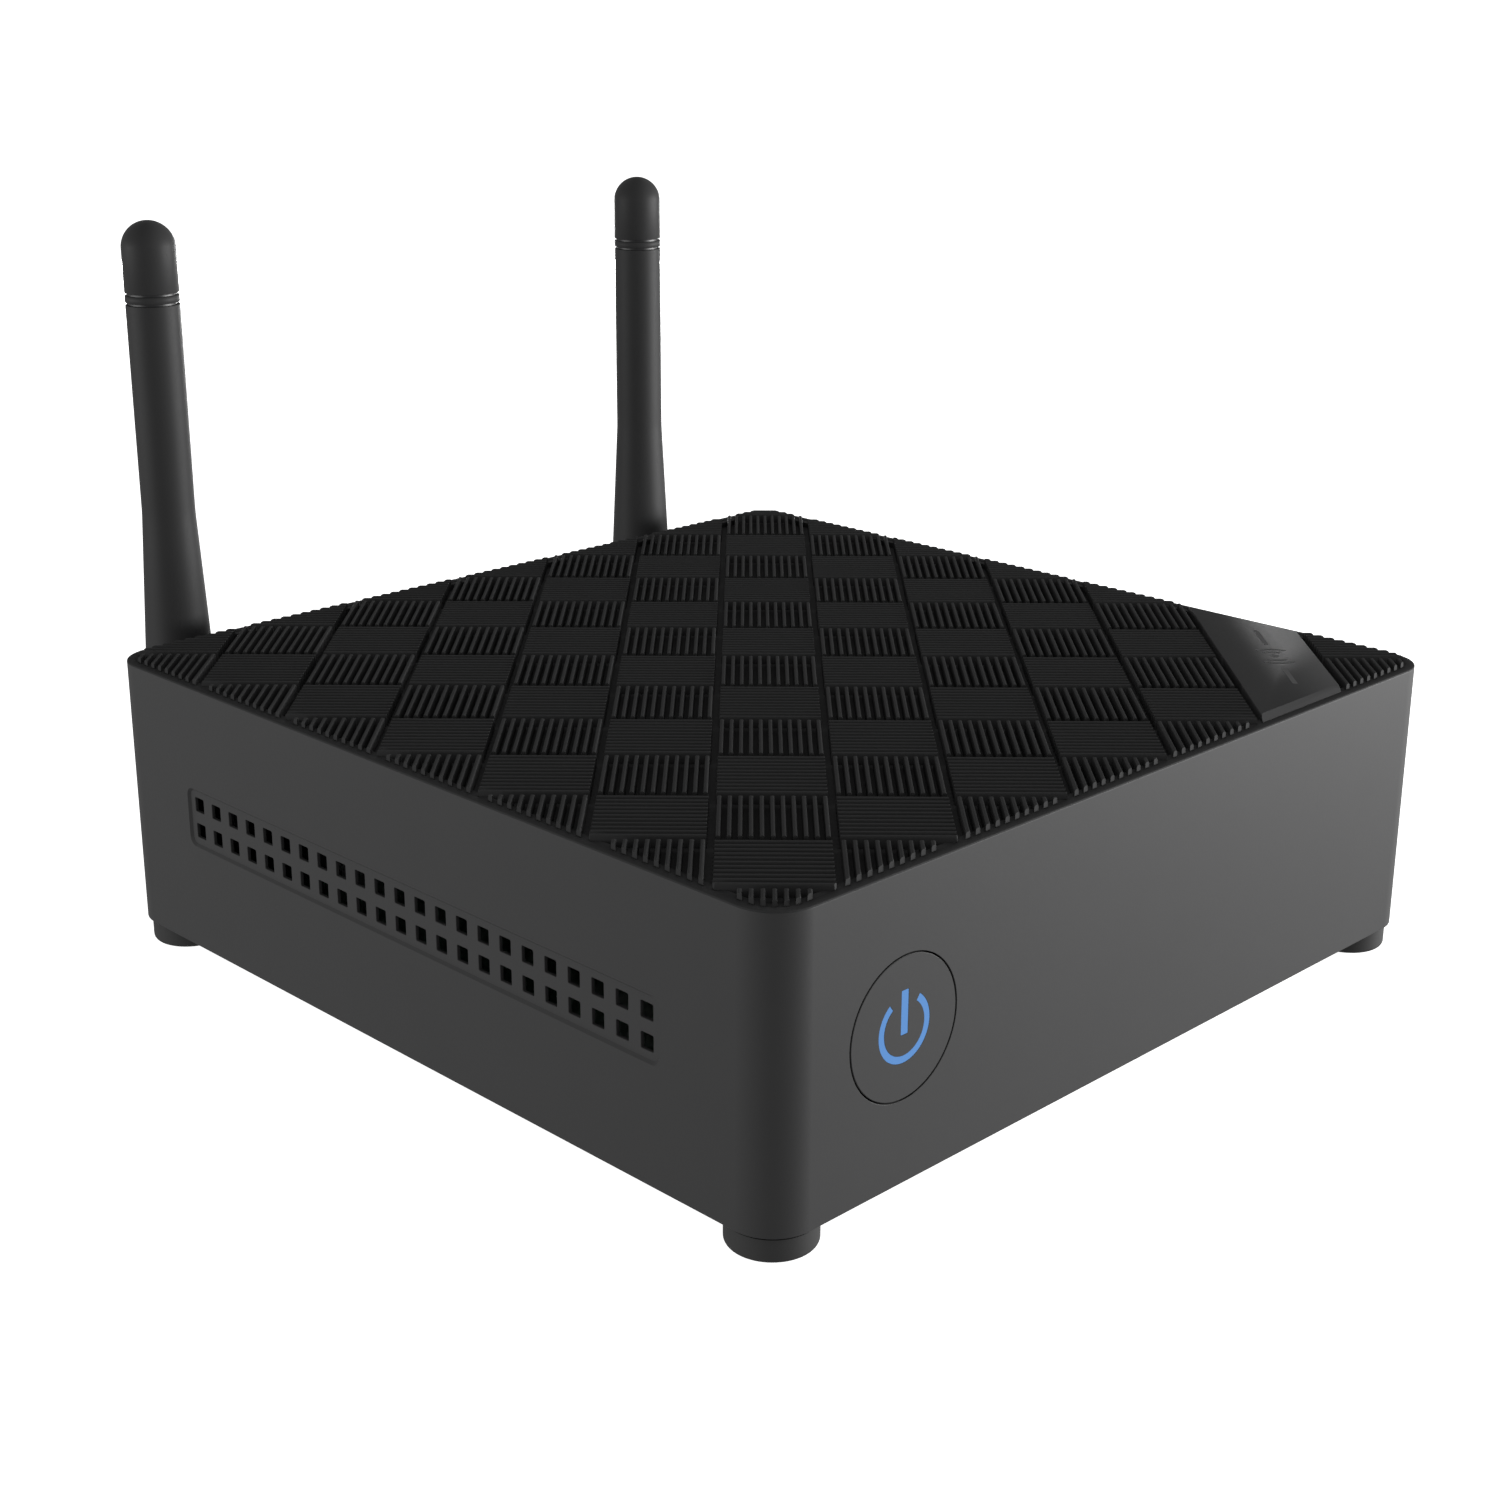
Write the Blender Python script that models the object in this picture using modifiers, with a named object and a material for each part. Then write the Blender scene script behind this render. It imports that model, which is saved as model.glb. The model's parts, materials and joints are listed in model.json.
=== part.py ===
"""Mesh wifi node: a square desktop box with a ribbed lid and two hinged rear antennas.

The box is modelled about its own middle, with the floor at z = 0, the power button
on the front (-Y) and the sockets and antennas at the rear (+Y).  One empty then moves
everything so that the origin is under the middle of the whole object.
"""
import math

import bmesh
import bpy
from mathutils import Matrix, Vector


def mm(value):
    """Millimetres as metres."""
    return value * 0.001


# ---------------------------------------------------------------- driving dimensions
BODY = mm(127.0)                 # width and depth of the box
BODY_RADIUS = mm(5.7)            # upright corners
BODY_HEIGHT = mm(37.1)           # foot of the walls to the lid
WALL = mm(2.0)
GAP = mm(0.3)                    # left between pieces that touch
FOOT_HEIGHT = mm(3.4)
FOOT_RADIUS = mm(5.3)
FOOT_INSET = mm(5.85)            # foot centre from the outer faces
FOOT_EDGE = mm(0.7)

LID_EDGE = mm(0.4)               # visible edge of the lid
LID_DROP = mm(1.25)              # how far the lid plate sinks between the walls
LEDGE = mm(1.2)                  # flat border around the ribbed field
FIELD_RISE = mm(0.8)             # rib tops above the ledge
CELL = mm(13.6)                  # pitch of the diagonal bands of ribs
BAND_GROOVE = mm(0.8)            # groove between two bands
GROOVE_DEPTH = mm(1.1)
BADGE_BAND = 5                   # which band carries the smooth plate

VENT_PITCH = mm(4.0)
VENT_COLUMNS = 23
VENT_ROWS = (mm(17.3), mm(21.0))     # above the foot of the walls
VENT_HOLE = mm(2.0)
VENT_FIELD = (mm(92.6), mm(8.3))     # length and height of the sunk field
VENT_SUNK = mm(0.35)
VENT_MIDDLE = mm(19.15)

BUTTON_X = mm(-43.4)
BUTTON_HEIGHT = mm(19.05)
BUTTON_RADIUS = mm(8.5)
BUTTON_GAP = mm(0.25)
BUTTON_FACE = mm(1.2)            # thickness of its front
BUTTON_FLANGE = mm(9.8)          # radius of the flange behind the wall
BUTTON_FLANGE_THICK = mm(1.0)
BUTTON_EDGE = mm(0.15)
ICON_RADIUS = mm(3.7)
ICON_STROKE = mm(0.85)
ICON_OPEN = math.radians(36.0)   # half angle of the ring's opening
ICON_BAR = (mm(1.1), mm(-0.75), mm(4.5))   # width, lowest and highest point
ICON_SUNK = mm(0.05)
GUIDE_BACK = (mm(5.2), mm(1.2))  # radius and thickness of the disc behind the icon

PLATE = mm(2.0)                  # base plate
BASE_SLOT = (mm(26.0), mm(2.4))  # length and width of an air slot
BASE_SLOT_X = mm(17.0)
BASE_SLOT_PITCH = mm(6.0)
BASE_SLOT_ROWS = 7

CASE_SCREW = (mm(55.0), mm(49.0))
CASE_SCREW_RADIUS = mm(1.25)
CASE_SCREW_LENGTH = mm(28.0)
CASE_SCREW_RISE = mm(0.15)       # its head is sunk this far into the base
CASE_SCREW_SINK = (mm(2.6), mm(1.2))     # radius and depth of the recess for its head
POST_WIDTH = mm(6.0)
POST_TOP = mm(21.7)              # above the foot of the walls, as are the next two
BOSS_LOW = mm(22.0)
BOSS_BORE_TOP = mm(32.0)
BOSS_RADIUS = mm(3.0)
BOARD_SCREW = (mm(46.0), mm(40.0))
BOARD_SCREW_RADIUS = mm(1.0)
BOARD_SCREW_LENGTH = mm(5.4)
STANDOFF_RADIUS = mm(2.6)
STANDOFF_FLOOR = mm(0.8)         # what the blind bore leaves of the base
HEAD_WIDTH = 1.75                # a screw head's radius, in shank radii
HEAD_THICKNESS = 0.8

FRONT_BOARD = (mm(24.4), mm(1.0), mm(29.0))   # width, thickness, top above the walls' foot
FRONT_BOARD_Y = mm(7.6)          # its face, from the front of the box
RAIL = (mm(2.0), mm(9.0), mm(22.0))
RAIL_X = mm(13.5)                # rails beside the front board, from the button's middle
RAIL_Z = mm(18.5)
STEM_DROP = mm(8.6)              # the stem under the button's middle works the switch
STEM_END = mm(4.3)
STEM_RADIUS = mm(1.2)
SWITCH = (mm(5.0), mm(1.5), mm(5.0))
PLUNGER = (mm(1.3), mm(2.1))     # radius, and reach from the front board
LED = (mm(3.2), mm(1.2), mm(1.6))
HEADER = (mm(12.0), mm(4.0), mm(3.0))

BOARD = (mm(102.0), mm(-48.0), mm(1.6))       # width, front edge, thickness
BOARD_RISE = mm(5.3)             # underside of the main board above the foot of the walls
BOARD_REAR = mm(2.0)             # from its rear edge to the rear wall
CHIP_MIDDLE = (mm(0.0), mm(-6.0))
PROCESSOR = (mm(17.0), mm(17.0), mm(1.6))
THERMAL_PAD = (mm(16.0), mm(16.0), mm(1.0))
MEMORY_CHIP = (mm(9.0), mm(13.0), mm(1.1))
MEMORY_X = mm(35.0)
INDUCTOR = (mm(6.5), mm(6.5), mm(3.2))
CAPACITOR = (mm(3.15), mm(8.0))  # radius, height
SUPPLY_X = mm(39.0)              # inductors on the right, capacitors on the left
SUPPLY_Y = (mm(14.0), mm(24.0))
TRANSFORMERS = (mm(48.0), mm(7.0), mm(4.0))
TRANSFORMERS_Y = mm(34.0)
RADIO = (mm(14.0), mm(-37.5))    # middle of the radio module
RADIO_BOARD = (mm(22.0), mm(18.0), mm(0.9))
SHIELD = (mm(19.0), mm(10.0), mm(2.2))
SHIELD_Y = mm(-3.5)              # from the module's middle

SINK = (mm(48.0), mm(36.0), mm(3.0))          # width, depth, base thickness
FIN = (mm(1.6), mm(10.0))        # thickness, height above the base
FINS = 9
EAR = (mm(8.0), mm(12.0))
EAR_PLACE = (mm(12.0), mm(23.0))
SINK_SCREW = (mm(12.0), mm(24.5))
SINK_SCREW_RADIUS = mm(1.1)
SINK_SCREW_LENGTH = mm(4.9)

JACK_X = (mm(-23.2), mm(-5.6), mm(12.0))
JACK_SIZE = (mm(16.0), mm(21.0), mm(13.5))
SOCKET_SIZE = (mm(11.8), mm(12.0), mm(7.2))
SOCKET_RISE = mm(4.0)            # floor of the socket, above the latch notch
LATCH_NOTCH = (mm(6.2), mm(3.0))
POWER_JACK_X = mm(29.8)
POWER_JACK_SIZE = (mm(9.0), mm(14.0), mm(11.0))
BARREL = (mm(3.2), mm(10.0))     # radius and depth of the power inlet
BARREL_PIN = (mm(1.0), mm(1.5))  # its pin's radius, and how far the pin is set back
RESET_X = mm(-35.4)
RESET_RISE = mm(4.0)
RESET_BORE = mm(1.6)
RESET_BUTTON = (mm(1.3), mm(3.5))
RESET_SET_BACK = mm(1.0)
RESET_SWITCH = (mm(6.0), mm(4.0), mm(7.0))
RESET_CLEARANCE = mm(0.6)

ANTENNA_X = mm(45.6)
ANTENNA_Y = mm(75.7)             # axis of the upright antenna
HINGE_HEIGHT = mm(18.7)
ANTENNA_TOP = mm(93.9)
ANTENNA_KINK = mm(52.9)          # the taper ends here
ANTENNA_RADIUS = mm(3.75)
ANTENNA_TAPER = 0.0504
ANTENNA_RINGS = (mm(82.6), mm(83.9))   # two fine grooves under the tip
ANTENNA_BORE = mm(2.2)
FORK_SLOT = mm(4.6)
FORK_DEPTH = mm(5.9)             # top of the slot above the hinge
TONGUE = mm(4.0)
TONGUE_INSET = mm(0.6)           # the tongue is rounder than the fork by this
NECK = (mm(9.0), mm(6.0))        # length and height of the tongue's neck
PIN_RADIUS = mm(1.2)
PIN_INSET = mm(0.7)
SWIVEL_RADIUS = mm(3.7)
FLANGE_RADIUS = mm(5.9)
FLANGE_EDGE = mm(2.2)            # the flange's rim and cone, out from the wall
CONE = (mm(4.9), mm(3.0))
CONE_TIP = (mm(3.6), mm(7.0))    # its end, short of the antenna's axis
CLIP_GROOVE = (mm(3.0), mm(1.6)) # radius and width of the groove behind the wall
CLIP = (mm(5.6), mm(0.6), mm(1.6))            # radius, near and far face
CLIP_SPLIT = (mm(4.4), mm(8.0))
CLIP_SPLIT_DROP = mm(4.5)
COAX_BORE = mm(1.1)
SWIVEL_TAIL = mm(4.0)            # how far the base reaches in past the wall
CORE_RADIUS = mm(1.6)
LEAD_RADIUS = mm(0.65)

ROUND = 24                       # sides of a small round piece

# ---------------------------------------------------------------- derived dimensions
HALF = BODY / 2.0
INNER = HALF - WALL
FLOOR = FOOT_HEIGHT                          # foot of the walls above the floor
LID_UNDER = FLOOR + BODY_HEIGHT              # underside of the lid's rim
LEDGE_TOP = LID_UNDER + LID_EDGE
FIELD_TOP = LEDGE_TOP + FIELD_RISE
WALL_TOP = LID_UNDER - GAP
LID_INNER = INNER - GAP                      # half width of what sits between the walls
BOARD_TOP = FLOOR + BOARD_RISE + BOARD[2]
FOOT_MIDDLE = HALF - FOOT_INSET
HINGE_Z = FLOOR + HINGE_HEIGHT
KNUCKLE = ANTENNA_RADIUS + ANTENNA_TAPER * (ANTENNA_KINK - HINGE_HEIGHT)
BUTTON_Z = FLOOR + BUTTON_HEIGHT
REAR_REACH = ANTENNA_Y + KNUCKLE - ANTENNA_TAPER * FORK_DEPTH
OBJECT_Y = (HALF - REAR_REACH) / 2.0         # brings the whole object's middle to y = 0

# name: colour (linear), roughness, metallic
MATERIALS = {
    "graphite_paint": ((0.060, 0.060, 0.060), 0.55, 0.0),
    "black_plastic": ((0.012, 0.012, 0.012), 0.50, 0.0),
    "smooth_black": ((0.022, 0.022, 0.022), 0.42, 0.0),
    "antenna_plastic": ((0.020, 0.020, 0.020), 0.48, 0.0),
    "black_rubber": ((0.018, 0.018, 0.018), 0.80, 0.0),
    "light_guide": ((0.12, 0.31, 0.70), 0.30, 0.0),
    "circuit_board": ((0.010, 0.070, 0.030), 0.45, 0.0),
    "chip_package": ((0.015, 0.015, 0.017), 0.50, 0.0),
    "steel": ((0.50, 0.50, 0.50), 0.35, 1.0),
    "aluminium": ((0.62, 0.62, 0.63), 0.40, 1.0),
    "brass": ((0.65, 0.45, 0.15), 0.35, 1.0),
    "socket_plastic": ((0.030, 0.030, 0.032), 0.45, 0.0),
    "thermal_rubber": ((0.25, 0.30, 0.38), 0.85, 0.0),
    "cable_jacket": ((0.020, 0.020, 0.020), 0.55, 0.0),
    "led_white": ((0.75, 0.78, 0.80), 0.30, 0.0),
}


# ---------------------------------------------------------------- helpers
def clear_scene():
    for item in list(bpy.data.objects):
        bpy.data.objects.remove(item, do_unlink=True)


def collection(name):
    made = bpy.data.collections.new(name)
    bpy.context.scene.collection.children.link(made)
    return made


def material(name):
    """The named finish, made the first time it is asked for."""
    found = bpy.data.materials.get(name)
    if found:
        return found
    colour, roughness, metallic = MATERIALS[name]
    made = bpy.data.materials.new(name)
    made.use_nodes = True
    shader = made.node_tree.nodes["Principled BSDF"]
    shader.inputs["Base Color"].default_value = (*colour, 1.0)
    shader.inputs["Roughness"].default_value = roughness
    shader.inputs["Metallic"].default_value = metallic
    made.diffuse_color = (*colour, 1.0)
    return made


def empty(name, location, parent=None):
    made = bpy.data.objects.new(name, None)
    made.location = location
    made.parent = parent
    made.empty_display_size = mm(5.0)
    PARTS.objects.link(made)
    return made


def node(name, bm, finish, parent=None, location=(0, 0, 0), smooth=True):
    """A named piece from a bmesh, with its finish."""
    mesh = bpy.data.meshes.new(name)
    bm.to_mesh(mesh)
    bm.free()
    if smooth:
        mesh.shade_smooth()
        mesh.set_sharp_from_angle(angle=math.radians(35.0))
    made = bpy.data.objects.new(name, mesh)
    made.data.materials.append(material(finish))
    made.parent = parent or ORIGIN
    made.location = location
    PARTS.objects.link(made)
    return made


def cutter(name, bm, parent=None, location=(0, 0, 0)):
    """A hidden tool shape, used only by Boolean modifiers."""
    mesh = bpy.data.meshes.new(name)
    bm.to_mesh(mesh)
    bm.free()
    made = bpy.data.objects.new(name, mesh)
    made.parent = parent or ORIGIN
    made.location = location
    made.hide_render = True
    made.display_type = "WIRE"
    CUTTERS.objects.link(made)
    return made


def boolean(target, tool, operation="DIFFERENCE"):
    step = target.modifiers.new(tool.name, "BOOLEAN")
    step.operation = operation
    step.solver = "EXACT"
    step.object = tool


def add_box(bm, size, centre):
    """A box; returns its vertices."""
    place = Matrix.Translation(centre) @ Matrix.Diagonal((*size, 1.0))
    return bmesh.ops.create_cube(bm, size=1.0, matrix=place)["verts"]


def add_cylinder(bm, radius, start, end, sides=ROUND):
    """A cylinder from one point to another."""
    start = Vector(start)
    along = Vector(end) - start
    turn = along.to_track_quat("Z", "X").to_matrix().to_4x4()
    place = Matrix.Translation(start + along / 2.0) @ turn
    bmesh.ops.create_cone(
        bm, cap_ends=True, segments=sides, radius1=radius, radius2=radius, depth=along.length, matrix=place
    )


def add_rounded_block(bm, size, centre, radius, segments=6):
    """A box whose four upright edges are rounded."""
    verts = add_box(bm, size, centre)
    edges = {edge for vert in verts for edge in vert.link_edges}
    upright = [e for e in edges if abs((e.verts[0].co - e.verts[1].co).z) > size[2] * 0.5]
    bmesh.ops.bevel(bm, geom=upright, offset=radius, segments=segments, profile=0.5, affect="EDGES")


def block(size, centre, radius=0.0, segments=6):
    bm = bmesh.new()
    if radius:
        add_rounded_block(bm, size, centre, radius, segments)
    else:
        add_box(bm, size, centre)
    return bm


def slab(half, low, high, radius, segments=6):
    """A square plate about the z axis, from one height to another."""
    return block((2 * half, 2 * half, high - low), (0, 0, (low + high) / 2.0), radius, segments)


def cylinder(radius, start, end, sides=ROUND):
    bm = bmesh.new()
    add_cylinder(bm, radius, start, end, sides)
    return bm


def turned(name, profile, finish, parent=None, location=(0, 0, 0), axis="Z", sides=ROUND):
    """A turned piece: the profile is (radius, height) pairs, top to bottom, on the outer side."""
    bm = bmesh.new()
    points = []
    for radius, height in profile:
        spot = (radius, 0, height) if axis == "Z" else (radius, height, 0)
        points.append(bm.verts.new(spot))
    for first, second in zip(points, points[1:]):
        bm.edges.new((first, second))
    made = node(name, bm, finish, parent, location, smooth=False)
    screw = made.modifiers.new("turn", "SCREW")
    screw.axis = axis
    screw.angle = 2.0 * math.pi
    screw.steps = sides
    screw.render_steps = sides
    screw.use_merge_vertices = True
    screw.merge_threshold = 1e-6
    screw.use_smooth_shade = True
    return made


def arc(radius, start, stop, steps, centre=(0.0, 0.0)):
    """Points along an arc, angles in degrees from the first axis."""
    points = []
    for step in range(steps + 1):
        angle = math.radians(start + (stop - start) * step / steps)
        points.append((centre[0] + radius * math.cos(angle), centre[1] + radius * math.sin(angle)))
    return points


def corners(x, y):
    return [(sx * x, sy * y) for sx in (-1, 1) for sy in (-1, 1)]


# ---------------------------------------------------------------- casing
def make_housing():
    """The four walls as one ring, with vents, a button hole and socket cut-outs."""
    housing = node("housing", slab(HALF, FLOOR, WALL_TOP, BODY_RADIUS, 8), "graphite_paint")
    inside = slab(INNER, FLOOR - WALL, WALL_TOP + WALL, BODY_RADIUS - WALL, 6)
    boolean(housing, cutter("housing_inside", inside))

    # posts for the long case screws, each joined to its side wall, and rails for the front board
    posts = bmesh.new()
    post_low = FLOOR + PLATE + GAP
    post_high = FLOOR + POST_TOP
    reach = INNER + WALL / 2.0 - CASE_SCREW[0] + POST_WIDTH / 2.0
    for x, y in corners(*CASE_SCREW):
        side = math.copysign(1.0, x)
        middle = x + side * (reach - POST_WIDTH) / 2.0
        centre = (middle, y, (post_low + post_high) / 2.0)
        add_box(posts, (reach, POST_WIDTH, post_high - post_low), centre)
    for side in (-1, 1):
        y = -INNER - WALL / 2.0 + RAIL[1] / 2.0
        add_box(posts, RAIL, (BUTTON_X + side * RAIL_X, y, FLOOR + RAIL_Z))
    boolean(housing, cutter("housing_posts", posts), "UNION")

    holes = bmesh.new()
    for x, y in corners(*CASE_SCREW):
        add_cylinder(holes, CASE_SCREW_RADIUS + GAP, (x, y, FLOOR), (x, y, post_high + WALL), 16)
    boolean(housing, cutter("post_bores", holes))

    # shallow fields with rows of square vents on both sides
    fields = bmesh.new()
    vents = bmesh.new()
    length, height = VENT_FIELD
    for side in (-1, 1):
        face = side * (HALF - VENT_SUNK + BODY_RADIUS / 2.0)
        add_box(fields, (BODY_RADIUS, length, height), (face, 0, FLOOR + VENT_MIDDLE))
        for column in range(VENT_COLUMNS):
            y = (column - (VENT_COLUMNS - 1) / 2.0) * VENT_PITCH
            for row in VENT_ROWS:
                add_box(vents, (4 * WALL, VENT_HOLE, VENT_HOLE), (side * HALF, y, FLOOR + row))
    boolean(housing, cutter("vent_fields", fields))
    boolean(housing, cutter("vent_holes", vents))

    # openings in the front and rear walls
    openings = bmesh.new()
    front = (BUTTON_X, -HALF - WALL, BUTTON_Z)
    add_cylinder(openings, BUTTON_RADIUS + BUTTON_GAP, front, (BUTTON_X, -HALF + 2 * WALL, BUTTON_Z), 48)
    through = 3 * WALL
    for x in JACK_X:
        size = (JACK_SIZE[0] + 2 * GAP, through, JACK_SIZE[2] + 2 * GAP)
        add_box(openings, size, (x, HALF, BOARD_TOP + GAP + JACK_SIZE[2] / 2.0))
    size = (POWER_JACK_SIZE[0] + 2 * GAP, through, POWER_JACK_SIZE[2] + 2 * GAP)
    add_box(openings, size, (POWER_JACK_X, HALF, BOARD_TOP + GAP + POWER_JACK_SIZE[2] / 2.0))
    for x, z, radius in (
        (RESET_X, BOARD_TOP + RESET_RISE, RESET_BORE),
        (-ANTENNA_X, HINGE_Z, SWIVEL_RADIUS + GAP),
        (ANTENNA_X, HINGE_Z, SWIVEL_RADIUS + GAP),
    ):
        add_cylinder(openings, radius, (x, HALF - through / 2.0, z), (x, HALF + through / 2.0, z))
    boolean(housing, cutter("wall_openings", openings))


def band_bars(half_width, low, high, bands, reach):
    """Straight bars along the diagonal bands, centred on the given band numbers."""
    bars = bmesh.new()
    for band in bands:
        add_box(bars, (2 * half_width, 2 * reach, high - low), (band * CELL, 0, (low + high) / 2.0))
    bmesh.ops.rotate(bars, verts=bars.verts, matrix=Matrix.Rotation(math.radians(-45.0), 3, "Z"))
    return bars


def make_lid():
    """The lid: a plate with a flat ledge and a raised field, grooved into diagonal bands."""
    lid = node("top_cover", slab(HALF, LID_UNDER, LEDGE_TOP, BODY_RADIUS, 8), "black_plastic")
    sunk = slab(LID_INNER, LID_UNDER - LID_DROP, LEDGE_TOP - LID_EDGE / 2.0, BODY_RADIUS - WALL - GAP, 6)
    boolean(lid, cutter("lid_inner", sunk), "UNION")
    field = slab(HALF - LEDGE, LID_UNDER, FIELD_TOP, BODY_RADIUS - LEDGE, 6)
    boolean(lid, cutter("lid_field", field), "UNION")

    # bosses that take the long case screws
    bosses = bmesh.new()
    boss_low = FLOOR + BOSS_LOW
    for x, y in corners(*CASE_SCREW):
        add_cylinder(bosses, BOSS_RADIUS, (x, y, boss_low), (x, y, LID_UNDER - LID_DROP / 2.0), 16)
    boolean(lid, cutter("lid_bosses", bosses), "UNION")
    bores = bmesh.new()
    for x, y in corners(*CASE_SCREW):
        top = FLOOR + BOSS_BORE_TOP
        add_cylinder(bores, CASE_SCREW_RADIUS + GAP, (x, y, boss_low - WALL), (x, y, top), 16)
    boolean(lid, cutter("boss_bores", bores))

    # grooves between the bands, and the pocket for the smooth plate
    reach = BODY
    last = int(math.sqrt(2.0) * HALF / CELL)
    between = [band + 0.5 for band in range(-last - 1, last + 1)]
    grooves = band_bars(BAND_GROOVE / 2.0, FIELD_TOP - GROOVE_DEPTH, FIELD_TOP + WALL, between, reach)
    pocket_low = FIELD_TOP - GROOVE_DEPTH - GAP / 2.0
    pocket = band_bars(CELL / 2.0, pocket_low, FIELD_TOP + WALL, [BADGE_BAND], reach)
    keep = cutter("field_outline", slab(HALF - LEDGE - GAP, LID_UNDER, FIELD_TOP + 2 * WALL, BODY_RADIUS))
    for name, bars in (("lid_grooves", grooves), ("badge_pocket", pocket)):
        tool = cutter(name, bars)
        boolean(tool, keep, "INTERSECT")
        boolean(lid, tool)

    # the smooth plate fills its pocket, clear of the sides and of the floor
    plate = band_bars(CELL / 2.0 - BAND_GROOVE / 2.0, pocket_low + GAP, FIELD_TOP, [BADGE_BAND], reach)
    badge = node("badge_plate", plate, "smooth_black", smooth=False)
    inside = slab(HALF - LEDGE - 2 * GAP, LID_UNDER, FIELD_TOP + WALL, BODY_RADIUS - LEDGE)
    boolean(badge, cutter("badge_outline", inside), "INTERSECT")


def make_base():
    """The base plate between the walls, with standoffs, slots and countersunk holes."""
    plate = slab(LID_INNER, FLOOR, FLOOR + PLATE, BODY_RADIUS - WALL - GAP)
    base = node("base_plate", plate, "graphite_paint")
    standoffs = bmesh.new()
    for x, y in corners(*BOARD_SCREW):
        top = FLOOR + BOARD_RISE - GAP
        add_cylinder(standoffs, STANDOFF_RADIUS, (x, y, FLOOR + PLATE / 2.0), (x, y, top), 16)
    boolean(base, cutter("base_standoffs", standoffs), "UNION")

    holes = bmesh.new()
    for x, y in corners(*CASE_SCREW):
        add_cylinder(holes, CASE_SCREW_RADIUS + GAP, (x, y, FLOOR - PLATE), (x, y, FLOOR + 2 * PLATE), 16)
    for x, y in corners(*BOARD_SCREW):
        low = (x, y, FLOOR + STANDOFF_FLOOR)
        add_cylinder(holes, BOARD_SCREW_RADIUS + GAP, low, (x, y, FLOOR + BOARD_RISE + PLATE), 12)
    boolean(base, cutter("base_bores", holes))
    slots = bmesh.new()
    radius, depth = CASE_SCREW_SINK
    for x, y in corners(*CASE_SCREW):
        add_cylinder(slots, radius, (x, y, FLOOR - PLATE), (x, y, FLOOR + depth), 20)
    for row in range(BASE_SLOT_ROWS):
        y = (row - (BASE_SLOT_ROWS - 1) / 2.0) * BASE_SLOT_PITCH
        for side in (-1, 1):
            add_box(slots, (*BASE_SLOT, 3 * PLATE), (side * BASE_SLOT_X, y, FLOOR))
    boolean(base, cutter("base_slots", slots))


def make_feet():
    """Four round rubber feet with a softened lower edge, one under each corner."""
    names = {(-1, -1): "front_left", (1, -1): "front_right", (-1, 1): "rear_left", (1, 1): "rear_right"}
    top = FOOT_HEIGHT - GAP
    edge = arc(FOOT_EDGE, 0, -90, 4, (FOOT_RADIUS - FOOT_EDGE, FOOT_EDGE))
    profile = [(0, top), (FOOT_RADIUS, top), *edge, (0, 0)]
    for (x, y), name in names.items():
        turned(f"foot_{name}", profile, "black_rubber", location=(x * FOOT_MIDDLE, y * FOOT_MIDDLE, 0))


def screw(name, x, y, head_low, radius, length, upwards=True):
    """A plain screw turned in one piece: a flat head and a shank."""
    head = HEAD_WIDTH * radius
    thick = HEAD_THICKNESS * radius
    if upwards:
        profile = [(0, length), (radius, length), (radius, thick), (head, thick), (head, 0), (0, 0)]
    else:
        profile = [(0, 0), (head, 0), (head, -thick), (radius, -thick), (radius, -length), (0, -length)]
    turned(name, profile, "steel", location=(x, y, head_low), sides=16)


def make_screws():
    """Long case screws from below, and short ones that hold the board."""
    for index, (x, y) in enumerate(corners(*CASE_SCREW), start=1):
        low = FLOOR + CASE_SCREW_RISE
        screw(f"case_screw_{index}", x, y, low, CASE_SCREW_RADIUS, CASE_SCREW_LENGTH)
    top = BOARD_TOP + GAP + HEAD_THICKNESS * BOARD_SCREW_RADIUS
    for index, (x, y) in enumerate(corners(*BOARD_SCREW), start=1):
        screw(f"board_screw_{index}", x, y, top, BOARD_SCREW_RADIUS, BOARD_SCREW_LENGTH, upwards=False)


# ---------------------------------------------------------------- power button
def icon_shape(grow, low, high):
    """A ring open at the top with a bar through the opening, as a solid between two depths."""
    bm = bmesh.new()
    steps = 28
    outline = []
    inner = ICON_RADIUS - ICON_STROKE / 2.0 - grow
    outer = ICON_RADIUS + ICON_STROKE / 2.0 + grow
    spread = ICON_OPEN - grow / ICON_RADIUS
    for radius, order in ((outer, range(steps + 1)), (inner, range(steps, -1, -1))):
        for step in order:
            angle = math.pi / 2.0 + spread + (2.0 * math.pi - 2.0 * spread) * step / steps
            outline.append(bm.verts.new((radius * math.cos(angle), low, radius * math.sin(angle))))
    face = bm.faces.new(outline)
    moved = bmesh.ops.extrude_face_region(bm, geom=[face])["geom"]
    lifted = [item for item in moved if isinstance(item, bmesh.types.BMVert)]
    bmesh.ops.translate(bm, verts=lifted, vec=(0, high - low, 0))
    width, bottom, top = ICON_BAR
    size = (width + 2 * grow, high - low, top - bottom + 2 * grow)
    add_box(bm, size, (0, (low + high) / 2.0, (top + bottom) / 2.0))
    bmesh.ops.recalc_face_normals(bm, faces=bm.faces)
    return bm


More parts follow.
